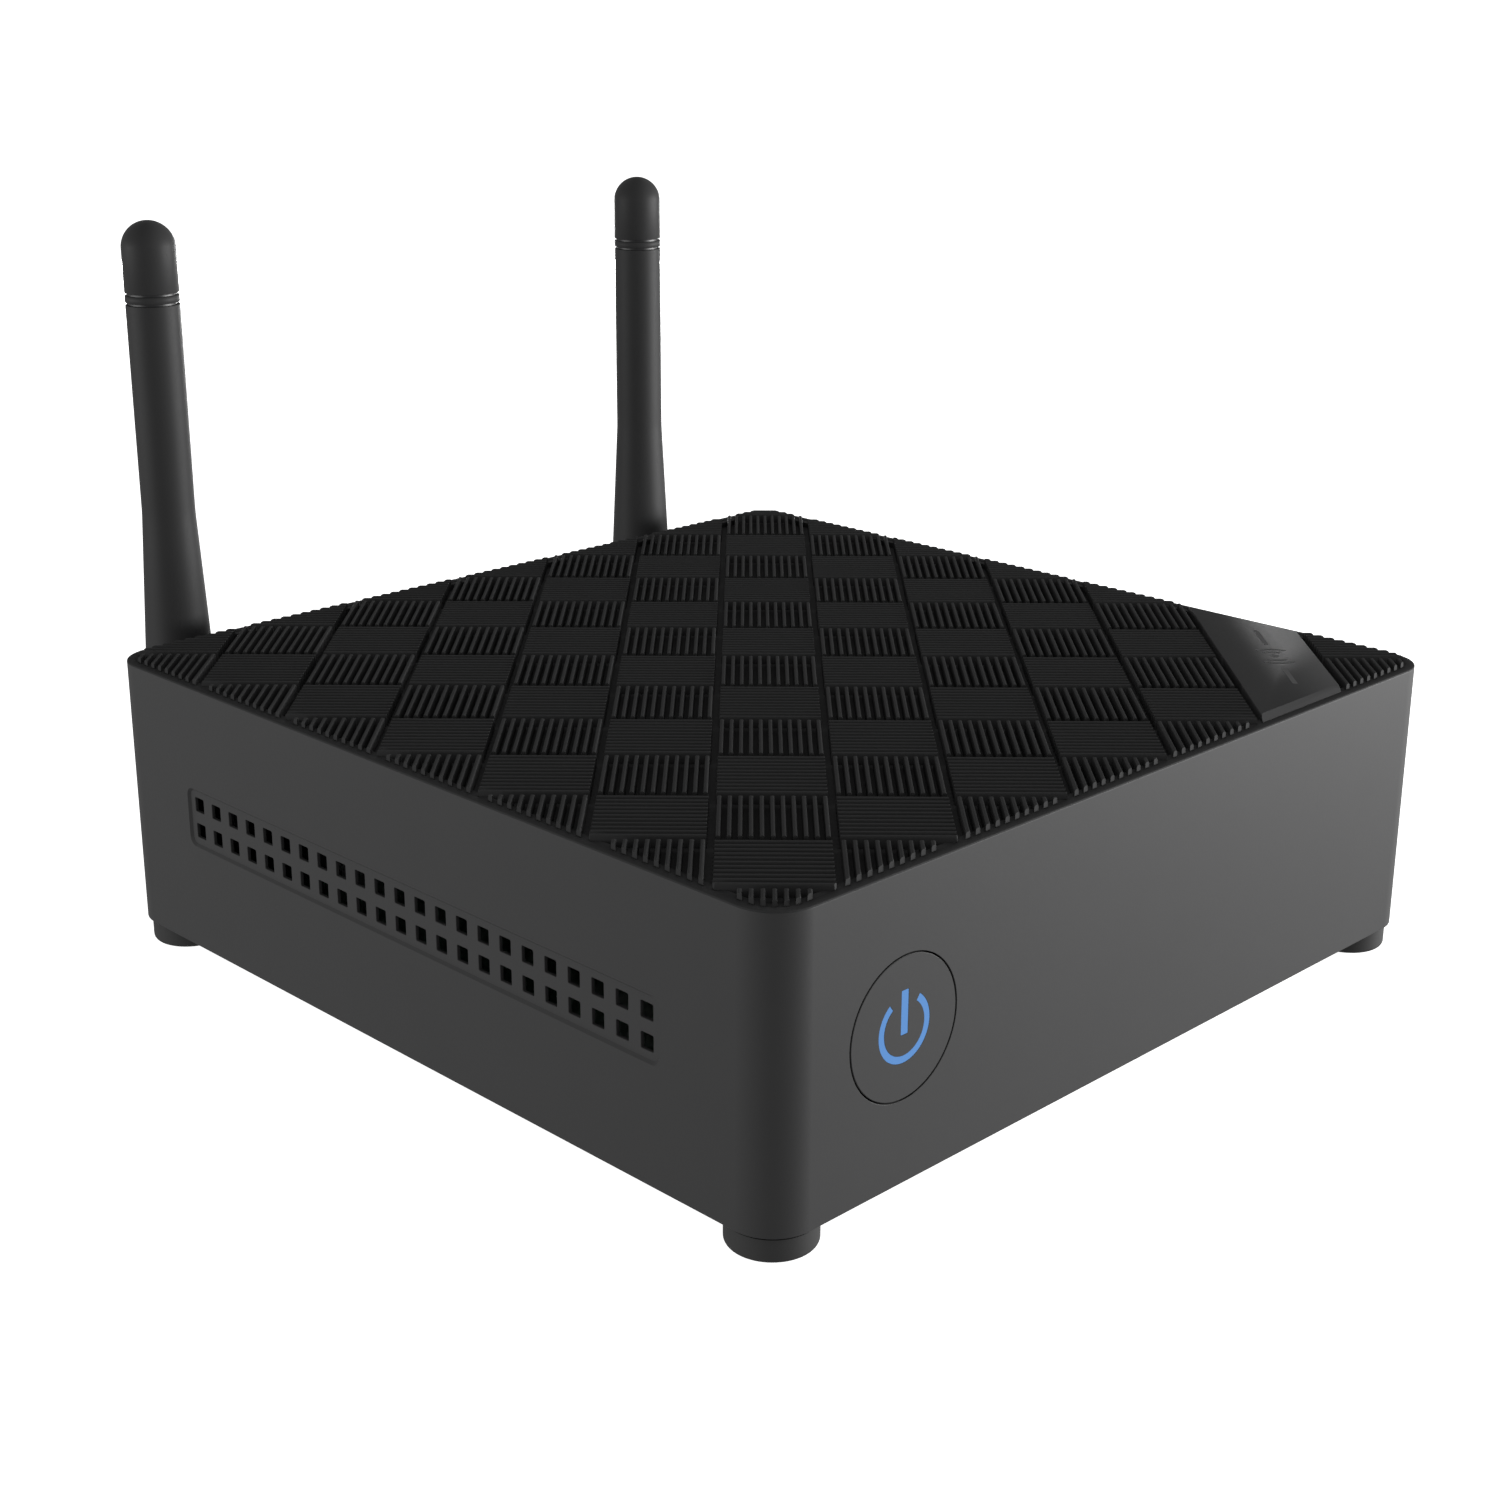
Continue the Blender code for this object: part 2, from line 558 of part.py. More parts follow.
def make_power_button():
    """A round button held behind the wall by its flange, with a light guide in its face.

    Its pieces are placed from the middle of its face; +Y is into the box.
    """
    centre = empty("power_button_axis", (BUTTON_X, -HALF, BUTTON_Z), ORIGIN)
    flange_near = WALL + GAP
    flange_far = flange_near + BUTTON_FLANGE_THICK
    rim = BUTTON_RADIUS - BUTTON_FACE
    profile = [
        (0, BUTTON_FACE),
        (rim, BUTTON_FACE),
        (rim, flange_far),
        (BUTTON_FLANGE, flange_far),
        (BUTTON_FLANGE, flange_near),
        (BUTTON_RADIUS, flange_near),
        (BUTTON_RADIUS, BUTTON_EDGE),
        (BUTTON_RADIUS - BUTTON_EDGE, 0),
        (0, 0),
    ]
    button = turned("power_button", profile, "graphite_paint", centre, axis="Y", sides=48)
    middle = (flange_near + flange_far) / 2.0
    stem = cylinder(STEM_RADIUS, (0, middle, -STEM_DROP), (0, STEM_END, -STEM_DROP), 16)
    boolean(button, cutter("button_stem", stem, centre), "UNION")
    boolean(button, cutter("icon_slots", icon_shape(GAP, -WALL, BUTTON_FACE + GAP), centre))

    behind = BUTTON_FACE + GAP
    guide = node("power_icon_light_guide", icon_shape(0.0, ICON_SUNK, behind + GAP), "light_guide", centre)
    backing = cylinder(GUIDE_BACK[0], (0, behind, 0), (0, behind + GUIDE_BACK[1], 0), 32)
    boolean(guide, cutter("guide_backing", backing, centre), "UNION")
    make_front_board()


def make_front_board():
    """The switch board stands upright behind the button, between its two rails."""
    wide, thick, top = FRONT_BOARD
    face = -HALF + FRONT_BOARD_Y
    low = BOARD_TOP + GAP
    high = FLOOR + top
    board = block((wide, thick, high - low), (BUTTON_X, face + thick / 2.0, (low + high) / 2.0))
    node("front_board", board, "circuit_board")

    front = face - GAP
    z = BUTTON_Z - STEM_DROP
    switch = block(SWITCH, (BUTTON_X, front - SWITCH[1] / 2.0, z))
    power_switch = node("power_switch", switch, "chip_package")
    radius, reach = PLUNGER
    plunger = cylinder(radius, (BUTTON_X, front - reach / 2.0, z), (BUTTON_X, front - reach, z), 16)
    boolean(power_switch, cutter("switch_plunger", plunger), "UNION")
    node("power_led", block(LED, (BUTTON_X, front - LED[1] / 2.0, BUTTON_Z)), "led_white")
    y = face + thick + GAP + HEADER[1] / 2.0
    node("front_board_header", block(HEADER, (BUTTON_X, y, low + HEADER[2] / 2.0)), "socket_plastic")


# ---------------------------------------------------------------- electronics
def on_board(name, size, x, y, finish, radius=0.0):
    """A plain piece standing on the main board; returns the height of its top."""
    low = BOARD_TOP + GAP
    node(name, block(size, (x, y, low + size[2] / 2.0), radius, 3), finish, smooth=False)
    return low + size[2]


def make_board():
    """The main board with its chips, heat sink and radio module."""
    wide, front, thick = BOARD
    low = FLOOR + BOARD_RISE
    rear = INNER - BOARD_REAR
    plate = block((wide, rear - front, thick), (0, (rear + front) / 2.0, low + thick / 2.0))
    board = node("main_board", plate, "circuit_board")
    holes = bmesh.new()
    for x, y in corners(*BOARD_SCREW):
        add_cylinder(holes, BOARD_SCREW_RADIUS + GAP, (x, y, low - thick), (x, y, low + 2 * thick), 12)
    boolean(board, cutter("board_holes", holes))

    x, y = CHIP_MIDDLE
    pad_low = on_board("processor", PROCESSOR, x, y, "chip_package") + GAP
    node("thermal_pad", block(THERMAL_PAD, (x, y, pad_low + THERMAL_PAD[2] / 2.0)), "thermal_rubber")
    make_heat_sink(pad_low + THERMAL_PAD[2] + GAP)

    for index, side in enumerate((-1, 1), start=1):
        on_board(f"memory_chip_{index}", MEMORY_CHIP, side * MEMORY_X, y, "chip_package")
    radius, height = CAPACITOR
    foot = BOARD_TOP + GAP
    for index, y in enumerate(SUPPLY_Y, start=1):
        on_board(f"power_inductor_{index}", INDUCTOR, SUPPLY_X, y, "chip_package")
        can = cylinder(radius, (-SUPPLY_X, y, foot), (-SUPPLY_X, y, foot + height), 20)
        node(f"capacitor_{index}", can, "aluminium")
    on_board("ethernet_transformers", TRANSFORMERS, JACK_X[1], TRANSFORMERS_Y, "chip_package")
    x, y = RADIO
    shield_low = on_board("wifi_module", RADIO_BOARD, x, y, "circuit_board") + GAP
    can = block(SHIELD, (x, y + SHIELD_Y, shield_low + SHIELD[2] / 2.0), 2 * GAP, 3)
    node("wifi_shield_can", can, "steel")


def make_heat_sink(low):
    """A finned block over the processor, with two screws through its ears."""
    x, y = CHIP_MIDDLE
    wide, deep, base = SINK
    sink = node("heat_sink", block(SINK, (x, y, low + base / 2.0)), "aluminium")
    comb = bmesh.new()
    thick, rise = FIN
    for index in range(FINS):
        along = x + (index / (FINS - 1) - 0.5) * (wide - thick)
        size = (thick, deep, rise + base / 2.0)
        add_box(comb, size, (along, y, low + (1.5 * base + rise) / 2.0))
    boolean(sink, cutter("sink_fins", comb), "UNION")
    ears = bmesh.new()
    holes = bmesh.new()
    for index, side in enumerate((-1, 1), start=1):
        ear = (x + side * EAR_PLACE[0], y + side * EAR_PLACE[1], low + base / 2.0)
        add_box(ears, (*EAR, base), ear)
        hole = (x + side * SINK_SCREW[0], y + side * SINK_SCREW[1])
        add_cylinder(holes, SINK_SCREW_RADIUS + GAP, (*hole, low - base), (*hole, low + 2 * base), 12)
        top = low + base + GAP + HEAD_THICKNESS * SINK_SCREW_RADIUS
        screw(f"heat_sink_screw_{index}", *hole, top, SINK_SCREW_RADIUS, SINK_SCREW_LENGTH, upwards=False)
    boolean(sink, cutter("sink_ears", ears), "UNION")
    boolean(sink, cutter("sink_holes", holes))


# ---------------------------------------------------------------- rear sockets
def make_jacks():
    """Three network sockets and the power inlet, flush with the rear wall."""
    low = BOARD_TOP + GAP
    face = HALF - GAP
    deep, high = JACK_SIZE[1:]
    wide, depth, tall = SOCKET_SIZE
    shelf = low + SOCKET_RISE
    for index, x in enumerate(JACK_X, start=1):
        body = block(JACK_SIZE, (x, face - deep / 2.0, low + high / 2.0))
        jack = node(f"ethernet_jack_{index}", body, "steel", smooth=False)
        cavity = block((wide, 2 * depth, tall), (x, face, shelf + tall / 2.0))
        boolean(jack, cutter(f"jack_cavity_{index}", cavity))
        across, drop = LATCH_NOTCH
        notch = block((across, 2 * (depth - GAP), drop), (x, face, shelf + GAP - drop / 2.0))
        boolean(jack, cutter(f"latch_notch_{index}", notch))

    deep, high = POWER_JACK_SIZE[1:]
    middle = low + high / 2.0
    shell = block(POWER_JACK_SIZE, (POWER_JACK_X, face - deep / 2.0, middle))
    inlet = node("dc_jack", shell, "socket_plastic")
    radius, depth = BARREL
    barrel = cylinder(radius, (POWER_JACK_X, face + deep, middle), (POWER_JACK_X, face - depth, middle))
    boolean(inlet, cutter("dc_barrel", barrel))
    radius, back = BARREL_PIN
    root = (POWER_JACK_X, face - depth - radius, middle)
    pin = cylinder(radius, root, (POWER_JACK_X, face - back, middle), 12)
    boolean(inlet, cutter("dc_pin", pin), "UNION")


def make_reset():
    """A small recessed button on its own switch."""
    z = BOARD_TOP + RESET_RISE
    face = HALF - RESET_SET_BACK
    radius, length = RESET_BUTTON
    button = cylinder(radius, (RESET_X, face - length, z), (RESET_X, face, z), 16)
    node("reset_button", button, "socket_plastic")
    y = face - length - RESET_CLEARANCE - RESET_SWITCH[1] / 2.0
    on_board("reset_switch", RESET_SWITCH, RESET_X, y, "chip_package")


# ---------------------------------------------------------------- antennas
def make_antenna(side, x):
    """One hinged antenna: a swivel base in the rear wall and an upright arm on a pin.

    The swivel turns about the y axis through the wall; the arm folds back about the pin.
    """
    swivel = empty(f"antenna_{side}_swivel", (x, 0, HINGE_Z), ORIGIN)
    tip, tip_short = CONE_TIP
    cone, cone_out = CONE
    groove, groove_width = CLIP_GROOVE
    groove_near = INNER - GAP
    profile = [
        (0, INNER - SWIVEL_TAIL),
        (SWIVEL_RADIUS, INNER - SWIVEL_TAIL),
        (SWIVEL_RADIUS, groove_near - groove_width),
        (groove, groove_near - groove_width),
        (groove, groove_near),
        (SWIVEL_RADIUS, groove_near),
        (SWIVEL_RADIUS, HALF + GAP),
        (FLANGE_RADIUS, HALF + GAP),
        (FLANGE_RADIUS, HALF + FLANGE_EDGE),
        (cone, HALF + cone_out),
        (tip, ANTENNA_Y - tip_short),
        (0, ANTENNA_Y - tip_short),
    ]
    base = turned(f"antenna_base_{side}", profile, "antenna_plastic", swivel, axis="Y")
    half = TONGUE / 2.0
    tongue = cylinder(KNUCKLE - TONGUE_INSET, (-half, ANTENNA_Y, 0), (half, ANTENNA_Y, 0))
    boolean(base, cutter(f"tongue_{side}", tongue, swivel), "UNION")
    # a hair narrower than the tongue, so that no two faces of the union lie in one plane
    length, height = NECK
    neck = block((0.995 * TONGUE, length, height), (0, ANTENNA_Y - length / 2.0, 0))
    boolean(base, cutter(f"neck_{side}", neck, swivel), "UNION")
    coax = cylinder(COAX_BORE, (0, INNER - 2 * SWIVEL_TAIL, 0), (0, HALF + cone_out, 0), 12)
    boolean(base, cutter(f"coax_bore_{side}", coax, swivel))
    pin_hole = cylinder(PIN_RADIUS + GAP, (-TONGUE, ANTENNA_Y, 0), (TONGUE, ANTENNA_Y, 0), 16)
    boolean(base, cutter(f"tongue_bore_{side}", pin_hole, swivel))

    # a split ring behind the wall keeps the base in
    radius, near, far = CLIP
    ring = cylinder(radius, (0, INNER - near, 0), (0, INNER - far, 0))
    clip = node(f"antenna_clip_{side}", ring, "steel", swivel)
    inside = cylinder(groove + GAP, (0, INNER + WALL, 0), (0, INNER - 2 * WALL, 0))
    boolean(clip, cutter(f"clip_inside_{side}", inside, swivel))
    width, height = CLIP_SPLIT
    split = block((width, 2 * WALL, height), (0, INNER - near, -CLIP_SPLIT_DROP))
    boolean(clip, cutter(f"clip_split_{side}", split, swivel))

    hinge = empty(f"antenna_{side}_hinge", (0, ANTENNA_Y, 0), swivel)
    reach = KNUCKLE - PIN_INSET
    pin = cylinder(PIN_RADIUS, (-reach, 0, 0), (reach, 0, 0), 16)
    node(f"antenna_pin_{side}", pin, "steel", hinge)
    make_arm(side, hinge)


def make_arm(side, hinge):
    """The arm from its hinge up: a tapered fork, a spacer ring and a domed tip on one core."""
    def above(height):
        return height - HINGE_HEIGHT

    groove = GAP / 2.0
    low_ring, high_ring = ANTENNA_RINGS
    knuckle = arc(KNUCKLE, 0, -90, 8)
    knuckle[-1] = (0, -KNUCKLE)
    top = above(low_ring - groove)
    profile = [(0, top), (ANTENNA_RADIUS, top), (ANTENNA_RADIUS, above(ANTENNA_KINK)), *knuckle]
    sleeve = turned(f"antenna_sleeve_{side}", profile, "antenna_plastic", hinge)
    slot = block((FORK_SLOT, 3 * KNUCKLE, FORK_DEPTH + 2 * KNUCKLE), (0, 0, FORK_DEPTH / 2.0 - KNUCKLE))
    boolean(sleeve, cutter(f"fork_slot_{side}", slot, hinge))
    bore = cylinder(ANTENNA_BORE, (0, 0, 0), (0, 0, above(ANTENNA_TOP)), 16)
    boolean(sleeve, cutter(f"sleeve_bore_{side}", bore, hinge))
    ears = cylinder(PIN_RADIUS + GAP, (-2 * KNUCKLE, 0, 0), (2 * KNUCKLE, 0, 0), 16)
    boolean(sleeve, cutter(f"ear_bores_{side}", ears, hinge))

    ring_low = above(low_ring + groove)
    ring_high = above(high_ring - groove)
    band = cylinder(ANTENNA_RADIUS, (0, 0, ring_low), (0, 0, ring_high))
    ring = node(f"antenna_ring_{side}", band, "antenna_plastic", hinge)
    ring_bore = cylinder(ANTENNA_BORE, (0, 0, ring_low - WALL), (0, 0, ring_high + WALL), 16)
    boolean(ring, cutter(f"ring_bore_{side}", ring_bore, hinge))

    dome = arc(ANTENNA_RADIUS, 90, 0, 8, (0.0, above(ANTENNA_TOP) - ANTENNA_RADIUS))
    dome[0] = (0, above(ANTENNA_TOP))
    tip_low = above(high_ring + groove)
    profile = [*dome, (ANTENNA_RADIUS, tip_low), (0, tip_low)]
    tip = turned(f"antenna_tip_{side}", profile, "antenna_plastic", hinge)
    socket_top = above(ANTENNA_TOP) - ANTENNA_RADIUS
    socket = cylinder(ANTENNA_BORE, (0, 0, tip_low - WALL), (0, 0, socket_top), 16)
    boolean(tip, cutter(f"tip_socket_{side}", socket, hinge))
    core = cylinder(CORE_RADIUS, (0, 0, FORK_DEPTH + 2 * GAP), (0, 0, socket_top - GAP), 16)
    node(f"antenna_core_{side}", core, "brass", hinge)


def make_cable(side, x):
    """A thin coaxial lead from the radio module to the swivel base, held inside the box."""
    out = math.copysign(1.0, x)
    route = [
        Vector((RADIO[0] + out * mm(8.0), -mm(31.0), BOARD_TOP + mm(2.2))),
        Vector((RADIO[0] + out * mm(15.0), -mm(34.0), BOARD_TOP + mm(2.6))),
        Vector((out * mm(34.0), -mm(40.0), BOARD_TOP + mm(4.0))),
        Vector((out * mm(47.5), -mm(22.0), BOARD_TOP + mm(5.0))),
        Vector((out * mm(48.0), mm(20.0), BOARD_TOP + mm(7.0))),
        Vector((x, INNER - mm(12.0), HINGE_Z)),
        Vector((x, INNER - mm(4.6), HINGE_Z)),
    ]
    points = []
    padded = [route[0] * 2 - route[1], *route, route[-1] * 2 - route[-2]]
    steps = 4
    for before, start, end, after in zip(padded, padded[1:], padded[2:], padded[3:]):
        for step in range(steps):
            t = step / steps
            points.append(0.5 * (2 * start + (end - before) * t
                                 + (2 * before - 5 * start + 4 * end - after) * t * t
                                 + (3 * start - before - 3 * end + after) * t ** 3))
    points.append(route[-1])
    name = f"antenna_cable_{side}"
    curve = bpy.data.curves.new(name, "CURVE")
    curve.dimensions = "3D"
    curve.bevel_depth = LEAD_RADIUS
    curve.bevel_resolution = 2
    curve.use_fill_caps = True
    spline = curve.splines.new("POLY")
    spline.points.add(len(points) - 1)
    for target, point in zip(spline.points, points):
        target.co = (*point, 1.0)
    lead = bpy.data.objects.new(name, curve)
    curve.materials.append(material("cable_jacket"))
    lead.parent = ORIGIN
    PARTS.objects.link(lead)


clear_scene()
PARTS = collection("mesh_wifi_node")
CUTTERS = collection("cutters")
ORIGIN = empty("object_middle", (0, OBJECT_Y, 0))
make_housing()
make_lid()
make_base()
make_feet()
make_screws()
make_power_button()
make_board()
make_jacks()
make_reset()
for antenna_side, antenna_x in (("left", -ANTENNA_X), ("right", ANTENNA_X)):
    make_antenna(antenna_side, antenna_x)
    make_cable(antenna_side, antenna_x)
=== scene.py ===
"""Looks of the mesh wifi node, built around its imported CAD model."""
import json
import math

import bmesh
import bpy
from mathutils import Matrix, Vector


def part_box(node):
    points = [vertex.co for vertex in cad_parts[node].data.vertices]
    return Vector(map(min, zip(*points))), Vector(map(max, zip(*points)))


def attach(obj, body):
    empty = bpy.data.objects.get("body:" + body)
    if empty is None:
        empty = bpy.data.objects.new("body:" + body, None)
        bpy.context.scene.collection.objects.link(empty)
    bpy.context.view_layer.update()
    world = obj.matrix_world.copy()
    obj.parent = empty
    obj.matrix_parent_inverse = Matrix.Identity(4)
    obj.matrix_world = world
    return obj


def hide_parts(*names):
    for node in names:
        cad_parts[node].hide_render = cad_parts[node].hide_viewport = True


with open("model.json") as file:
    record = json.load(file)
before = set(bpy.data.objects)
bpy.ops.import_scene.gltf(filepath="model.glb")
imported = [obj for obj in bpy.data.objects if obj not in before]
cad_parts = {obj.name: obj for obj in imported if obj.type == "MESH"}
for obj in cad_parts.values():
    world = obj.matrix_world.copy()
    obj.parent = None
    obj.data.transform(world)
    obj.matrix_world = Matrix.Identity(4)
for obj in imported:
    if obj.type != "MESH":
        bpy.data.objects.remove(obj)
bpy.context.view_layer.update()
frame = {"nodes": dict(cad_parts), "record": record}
NODES = frame["nodes"]


def mm(value):
    """Millimetres as metres."""
    return value * 0.001


# ---------------------------------------------------------------- places, from the frame
SHELL_LOW, SHELL_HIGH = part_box("housing")
MID_Y = (SHELL_LOW.y + SHELL_HIGH.y) / 2.0
HALF = (SHELL_HIGH.x - SHELL_LOW.x) / 2.0
FLOOR = SHELL_LOW.z                       # foot of the walls
FRONT = SHELL_LOW.y
REAR = SHELL_HIGH.y
RADIUS = mm(5.7)                          # upright corners
WALL = mm(2.0)
SEAM = FLOOR + mm(37.47)                  # where the walls meet the lid
INWARD = Matrix(((1, 0, 0), (0, 0, 1), (0, 1, 0))).to_4x4()      # x right, y up, z into the front
REARWARD = Matrix(((-1, 0, 0), (0, 0, 1), (0, 1, 0))).to_4x4()   # x left, y up, z out of the rear

PARTS = bpy.data.collections.new("visual_parts")
bpy.context.scene.collection.children.link(PARTS)


# ---------------------------------------------------------------- mesh helpers
SAME_POINT = 1e-7                         # points closer than this are one
ON_AXIS = 1e-9
SMALLEST_CORNER = mm(0.2)


def piece(name, bm, body, finish, replaces=(), sharp=30.0, weighted=False):
    """Turns a bmesh into a named piece with a finish that rides on a body."""
    bmesh.ops.recalc_face_normals(bm, faces=bm.faces)
    mesh = bpy.data.meshes.new(name)
    bm.to_mesh(mesh)
    bm.free()
    mesh.shade_smooth()
    mesh.set_sharp_from_angle(angle=math.radians(sharp))
    mesh.materials.append(finish)
    made = bpy.data.objects.new(name, mesh)
    PARTS.objects.link(made)
    if weighted:
        step = made.modifiers.new("flat_normals", "WEIGHTED_NORMAL")
        step.keep_sharp = True
    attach(made, body)
    if replaces:
        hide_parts(*replaces)


def boolean(bm, tool, operation="DIFFERENCE"):
    """One bmesh cut or joined by another; both are used up and a new one comes back."""
    objects = []
    for name, source in (("base", bm), ("tool", tool)):
        bmesh.ops.recalc_face_normals(source, faces=source.faces)
        mesh = bpy.data.meshes.new(name)
        source.to_mesh(mesh)
        source.free()
        made = bpy.data.objects.new(name, mesh)
        bpy.context.scene.collection.objects.link(made)
        objects.append(made)
    base, cutter = objects
    step = base.modifiers.new("cut", "BOOLEAN")
    step.operation = operation
    step.solver = "MANIFOLD"
    step.object = cutter
    graph = bpy.context.evaluated_depsgraph_get()
    result = bmesh.new()
    result.from_mesh(base.evaluated_get(graph).to_mesh())
    base.evaluated_get(graph).to_mesh_clear()
    for made in objects:
        mesh = made.data
        bpy.data.objects.remove(made)
        bpy.data.meshes.remove(mesh)
    bmesh.ops.remove_doubles(result, verts=result.verts, dist=SAME_POINT)
    return result


def skin(bm, rings, closed=False, caps=True):
    """Faces between equal rings of points; closed joins the last ring to the first."""
    made = [[bm.verts.new(point) for point in ring] for ring in rings]
    pairs = list(zip(made, made[1:]))
    if closed:
        pairs.append((made[-1], made[0]))
    for low, high in pairs:
        for index in range(len(low)):
            turn = (index + 1) % len(low)
            bm.faces.new((low[index], low[turn], high[turn], high[index]))
    if caps and not closed:
        bm.faces.new(list(reversed(made[0])))
        bm.faces.new(made[-1])
    return made


def middle_of(name):
    """The middle of a CAD node's box."""
    low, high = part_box(name)
    return (low + high) / 2.0


def arc(radius, start, stop, steps, centre=(0.0, 0.0)):
    """Points of an arc, angles in degrees."""
    points = []
    for step in range(steps + 1):
        angle = math.radians(start + (stop - start) * step / steps)
        points.append((centre[0] + radius * math.cos(angle), centre[1] + radius * math.sin(angle)))
    return points


def rounded_rectangle(half_a, half_b, radius, steps=6):
    """Outline points of a rectangle with round corners, counter-clockwise."""
    a = half_a - radius
    b = half_b - radius
    outline = []
    for start, centre in ((0, (a, b)), (90, (-a, b)), (180, (-a, -b)), (270, (a, -b))):
        outline.extend(arc(radius, start, start + 90, steps, centre))
    return outline


def shifted(outline, along, up):
    """An outline moved within its own plane."""
    return [(a + along, b + up) for a, b in outline]


def square_ring(half, z, steps=24):
    """The body's outline, drawn in from its full size, at one height."""
    radius = max(RADIUS - (HALF - half), SMALLEST_CORNER)
    return [(x, MID_Y + y, z) for x, y in rounded_rectangle(half, half, radius, steps)]


def lathe(profile, sides=64, place=None, bm=None):
    """A turned shape about the z axis from (radius, height) pairs; radius 0 ends close it."""
    bm = bm or bmesh.new()
    verts_before = len(bm.verts)
    points = [(r, h) for r, h in profile if r > ON_AXIS]
    rings = []
    for radius, height in points:
        ring = []
        for side in range(sides):
            angle = 2.0 * math.pi * side / sides
            ring.append((radius * math.cos(angle), radius * math.sin(angle), height))
        rings.append(ring)
    closed = profile[0][0] > ON_AXIS and profile[-1][0] > ON_AXIS
    made = skin(bm, rings, closed=closed, caps=False)
    if not closed:
        for ring, (radius, height) in ((made[0], profile[0]), (made[-1], profile[-1])):
            if abs(height - ring[0].co.z) < ON_AXIS:
                bm.faces.new(ring)
            else:
                pole = bm.verts.new((0, 0, height))
                for side in range(sides):
                    bm.faces.new((ring[side], ring[(side + 1) % sides], pole))
    if place is not None:
        bm.verts.ensure_lookup_table()
        fresh = bm.verts[verts_before:]
        bmesh.ops.transform(bm, matrix=place, verts=fresh)
    return bm


def pointing(axis, at):
    """A frame at a point whose z axis points along the given axis."""
    return Matrix.Translation(at) @ Vector(axis).to_track_quat("Z", "Y").to_matrix().to_4x4()


def loft_outline(bm, levels, place):
    """A closed shape through outlines [(height, outline points)], placed by a matrix."""
    rings = []
    for height, outline in levels:
        rings.append([place @ Vector((a, b, height)) for a, b in outline])
    skin(bm, rings)
    return bm


def soft_box(low, high, bevel):
    """A box between two corners with softened edges."""
    bm = bmesh.new()
    size = [high[k] - low[k] for k in range(3)]
    centre = [(high[k] + low[k]) / 2.0 for k in range(3)]
    place = Matrix.Translation(centre) @ Matrix.Diagonal((*size, 1.0))
    made = bmesh.ops.create_cube(bm, size=1.0, matrix=place)["verts"]
    edges = list({edge for vert in made for edge in vert.link_edges})
    bmesh.ops.bevel(bm, geom=edges, offset=bevel, segments=2, profile=0.5, affect="EDGES")
    return bm


# ---------------------------------------------------------------- finishes
TONE_SCALE = 18.0                         # how much coarser the changes of tone are than the grain
GRAIN_DETAIL = 3.0
TONE_DETAIL = 4.0
ROUGHNESS_SWING = 0.06                    # how far the grain moves the roughness either way
RELIEF = mm(0.05)                         # depth of the grain


def finish(name, colour, roughness, metallic=0.0, grain=900.0, bump=0.08, mottle=0.06, gloss=0.5,
           emission=None):
    """A moulded or metal surface: fine grain in its bump, and gentle changes of tone and gloss."""
    material = bpy.data.materials.new(name)
    material.use_nodes = True
    nodes = material.node_tree.nodes
    links = material.node_tree.links
    shader = nodes["Principled BSDF"]
    shader.inputs["Metallic"].default_value = metallic
    shader.inputs["Specular IOR Level"].default_value = gloss
    place = nodes.new("ShaderNodeTexCoord")

    fine = nodes.new("ShaderNodeTexNoise")
    fine.inputs["Scale"].default_value = grain
    fine.inputs["Detail"].default_value = GRAIN_DETAIL
    broad = nodes.new("ShaderNodeTexNoise")
    broad.inputs["Scale"].default_value = grain / TONE_SCALE
    broad.inputs["Detail"].default_value = TONE_DETAIL
    for texture in (fine, broad):
        links.new(place.outputs["Object"], texture.inputs["Vector"])

    tone = nodes.new("ShaderNodeMapRange")
    tone.inputs["To Min"].default_value = 1.0 - mottle
    tone.inputs["To Max"].default_value = 1.0 + mottle
    links.new(broad.outputs["Fac"], tone.inputs["Value"])
    tint = nodes.new("ShaderNodeVectorMath")
    tint.operation = "SCALE"
    tint.inputs[0].default_value = colour
    links.new(tone.outputs["Result"], tint.inputs["Scale"])
    links.new(tint.outputs["Vector"], shader.inputs["Base Color"])

    rough = nodes.new("ShaderNodeMapRange")
    rough.inputs["To Min"].default_value = roughness - ROUGHNESS_SWING
    rough.inputs["To Max"].default_value = roughness + ROUGHNESS_SWING
    links.new(fine.outputs["Fac"], rough.inputs["Value"])
    links.new(rough.outputs["Result"], shader.inputs["Roughness"])

    if bump:
        relief = nodes.new("ShaderNodeBump")
        relief.inputs["Strength"].default_value = bump
        relief.inputs["Distance"].default_value = RELIEF
        links.new(fine.outputs["Fac"], relief.inputs["Height"])
        links.new(relief.outputs["Normal"], shader.inputs["Normal"])
    if emission:
        glow, strength = emission
        shader.inputs["Emission Color"].default_value = (*glow, 1.0)
        shader.inputs["Emission Strength"].default_value = strength
    return material


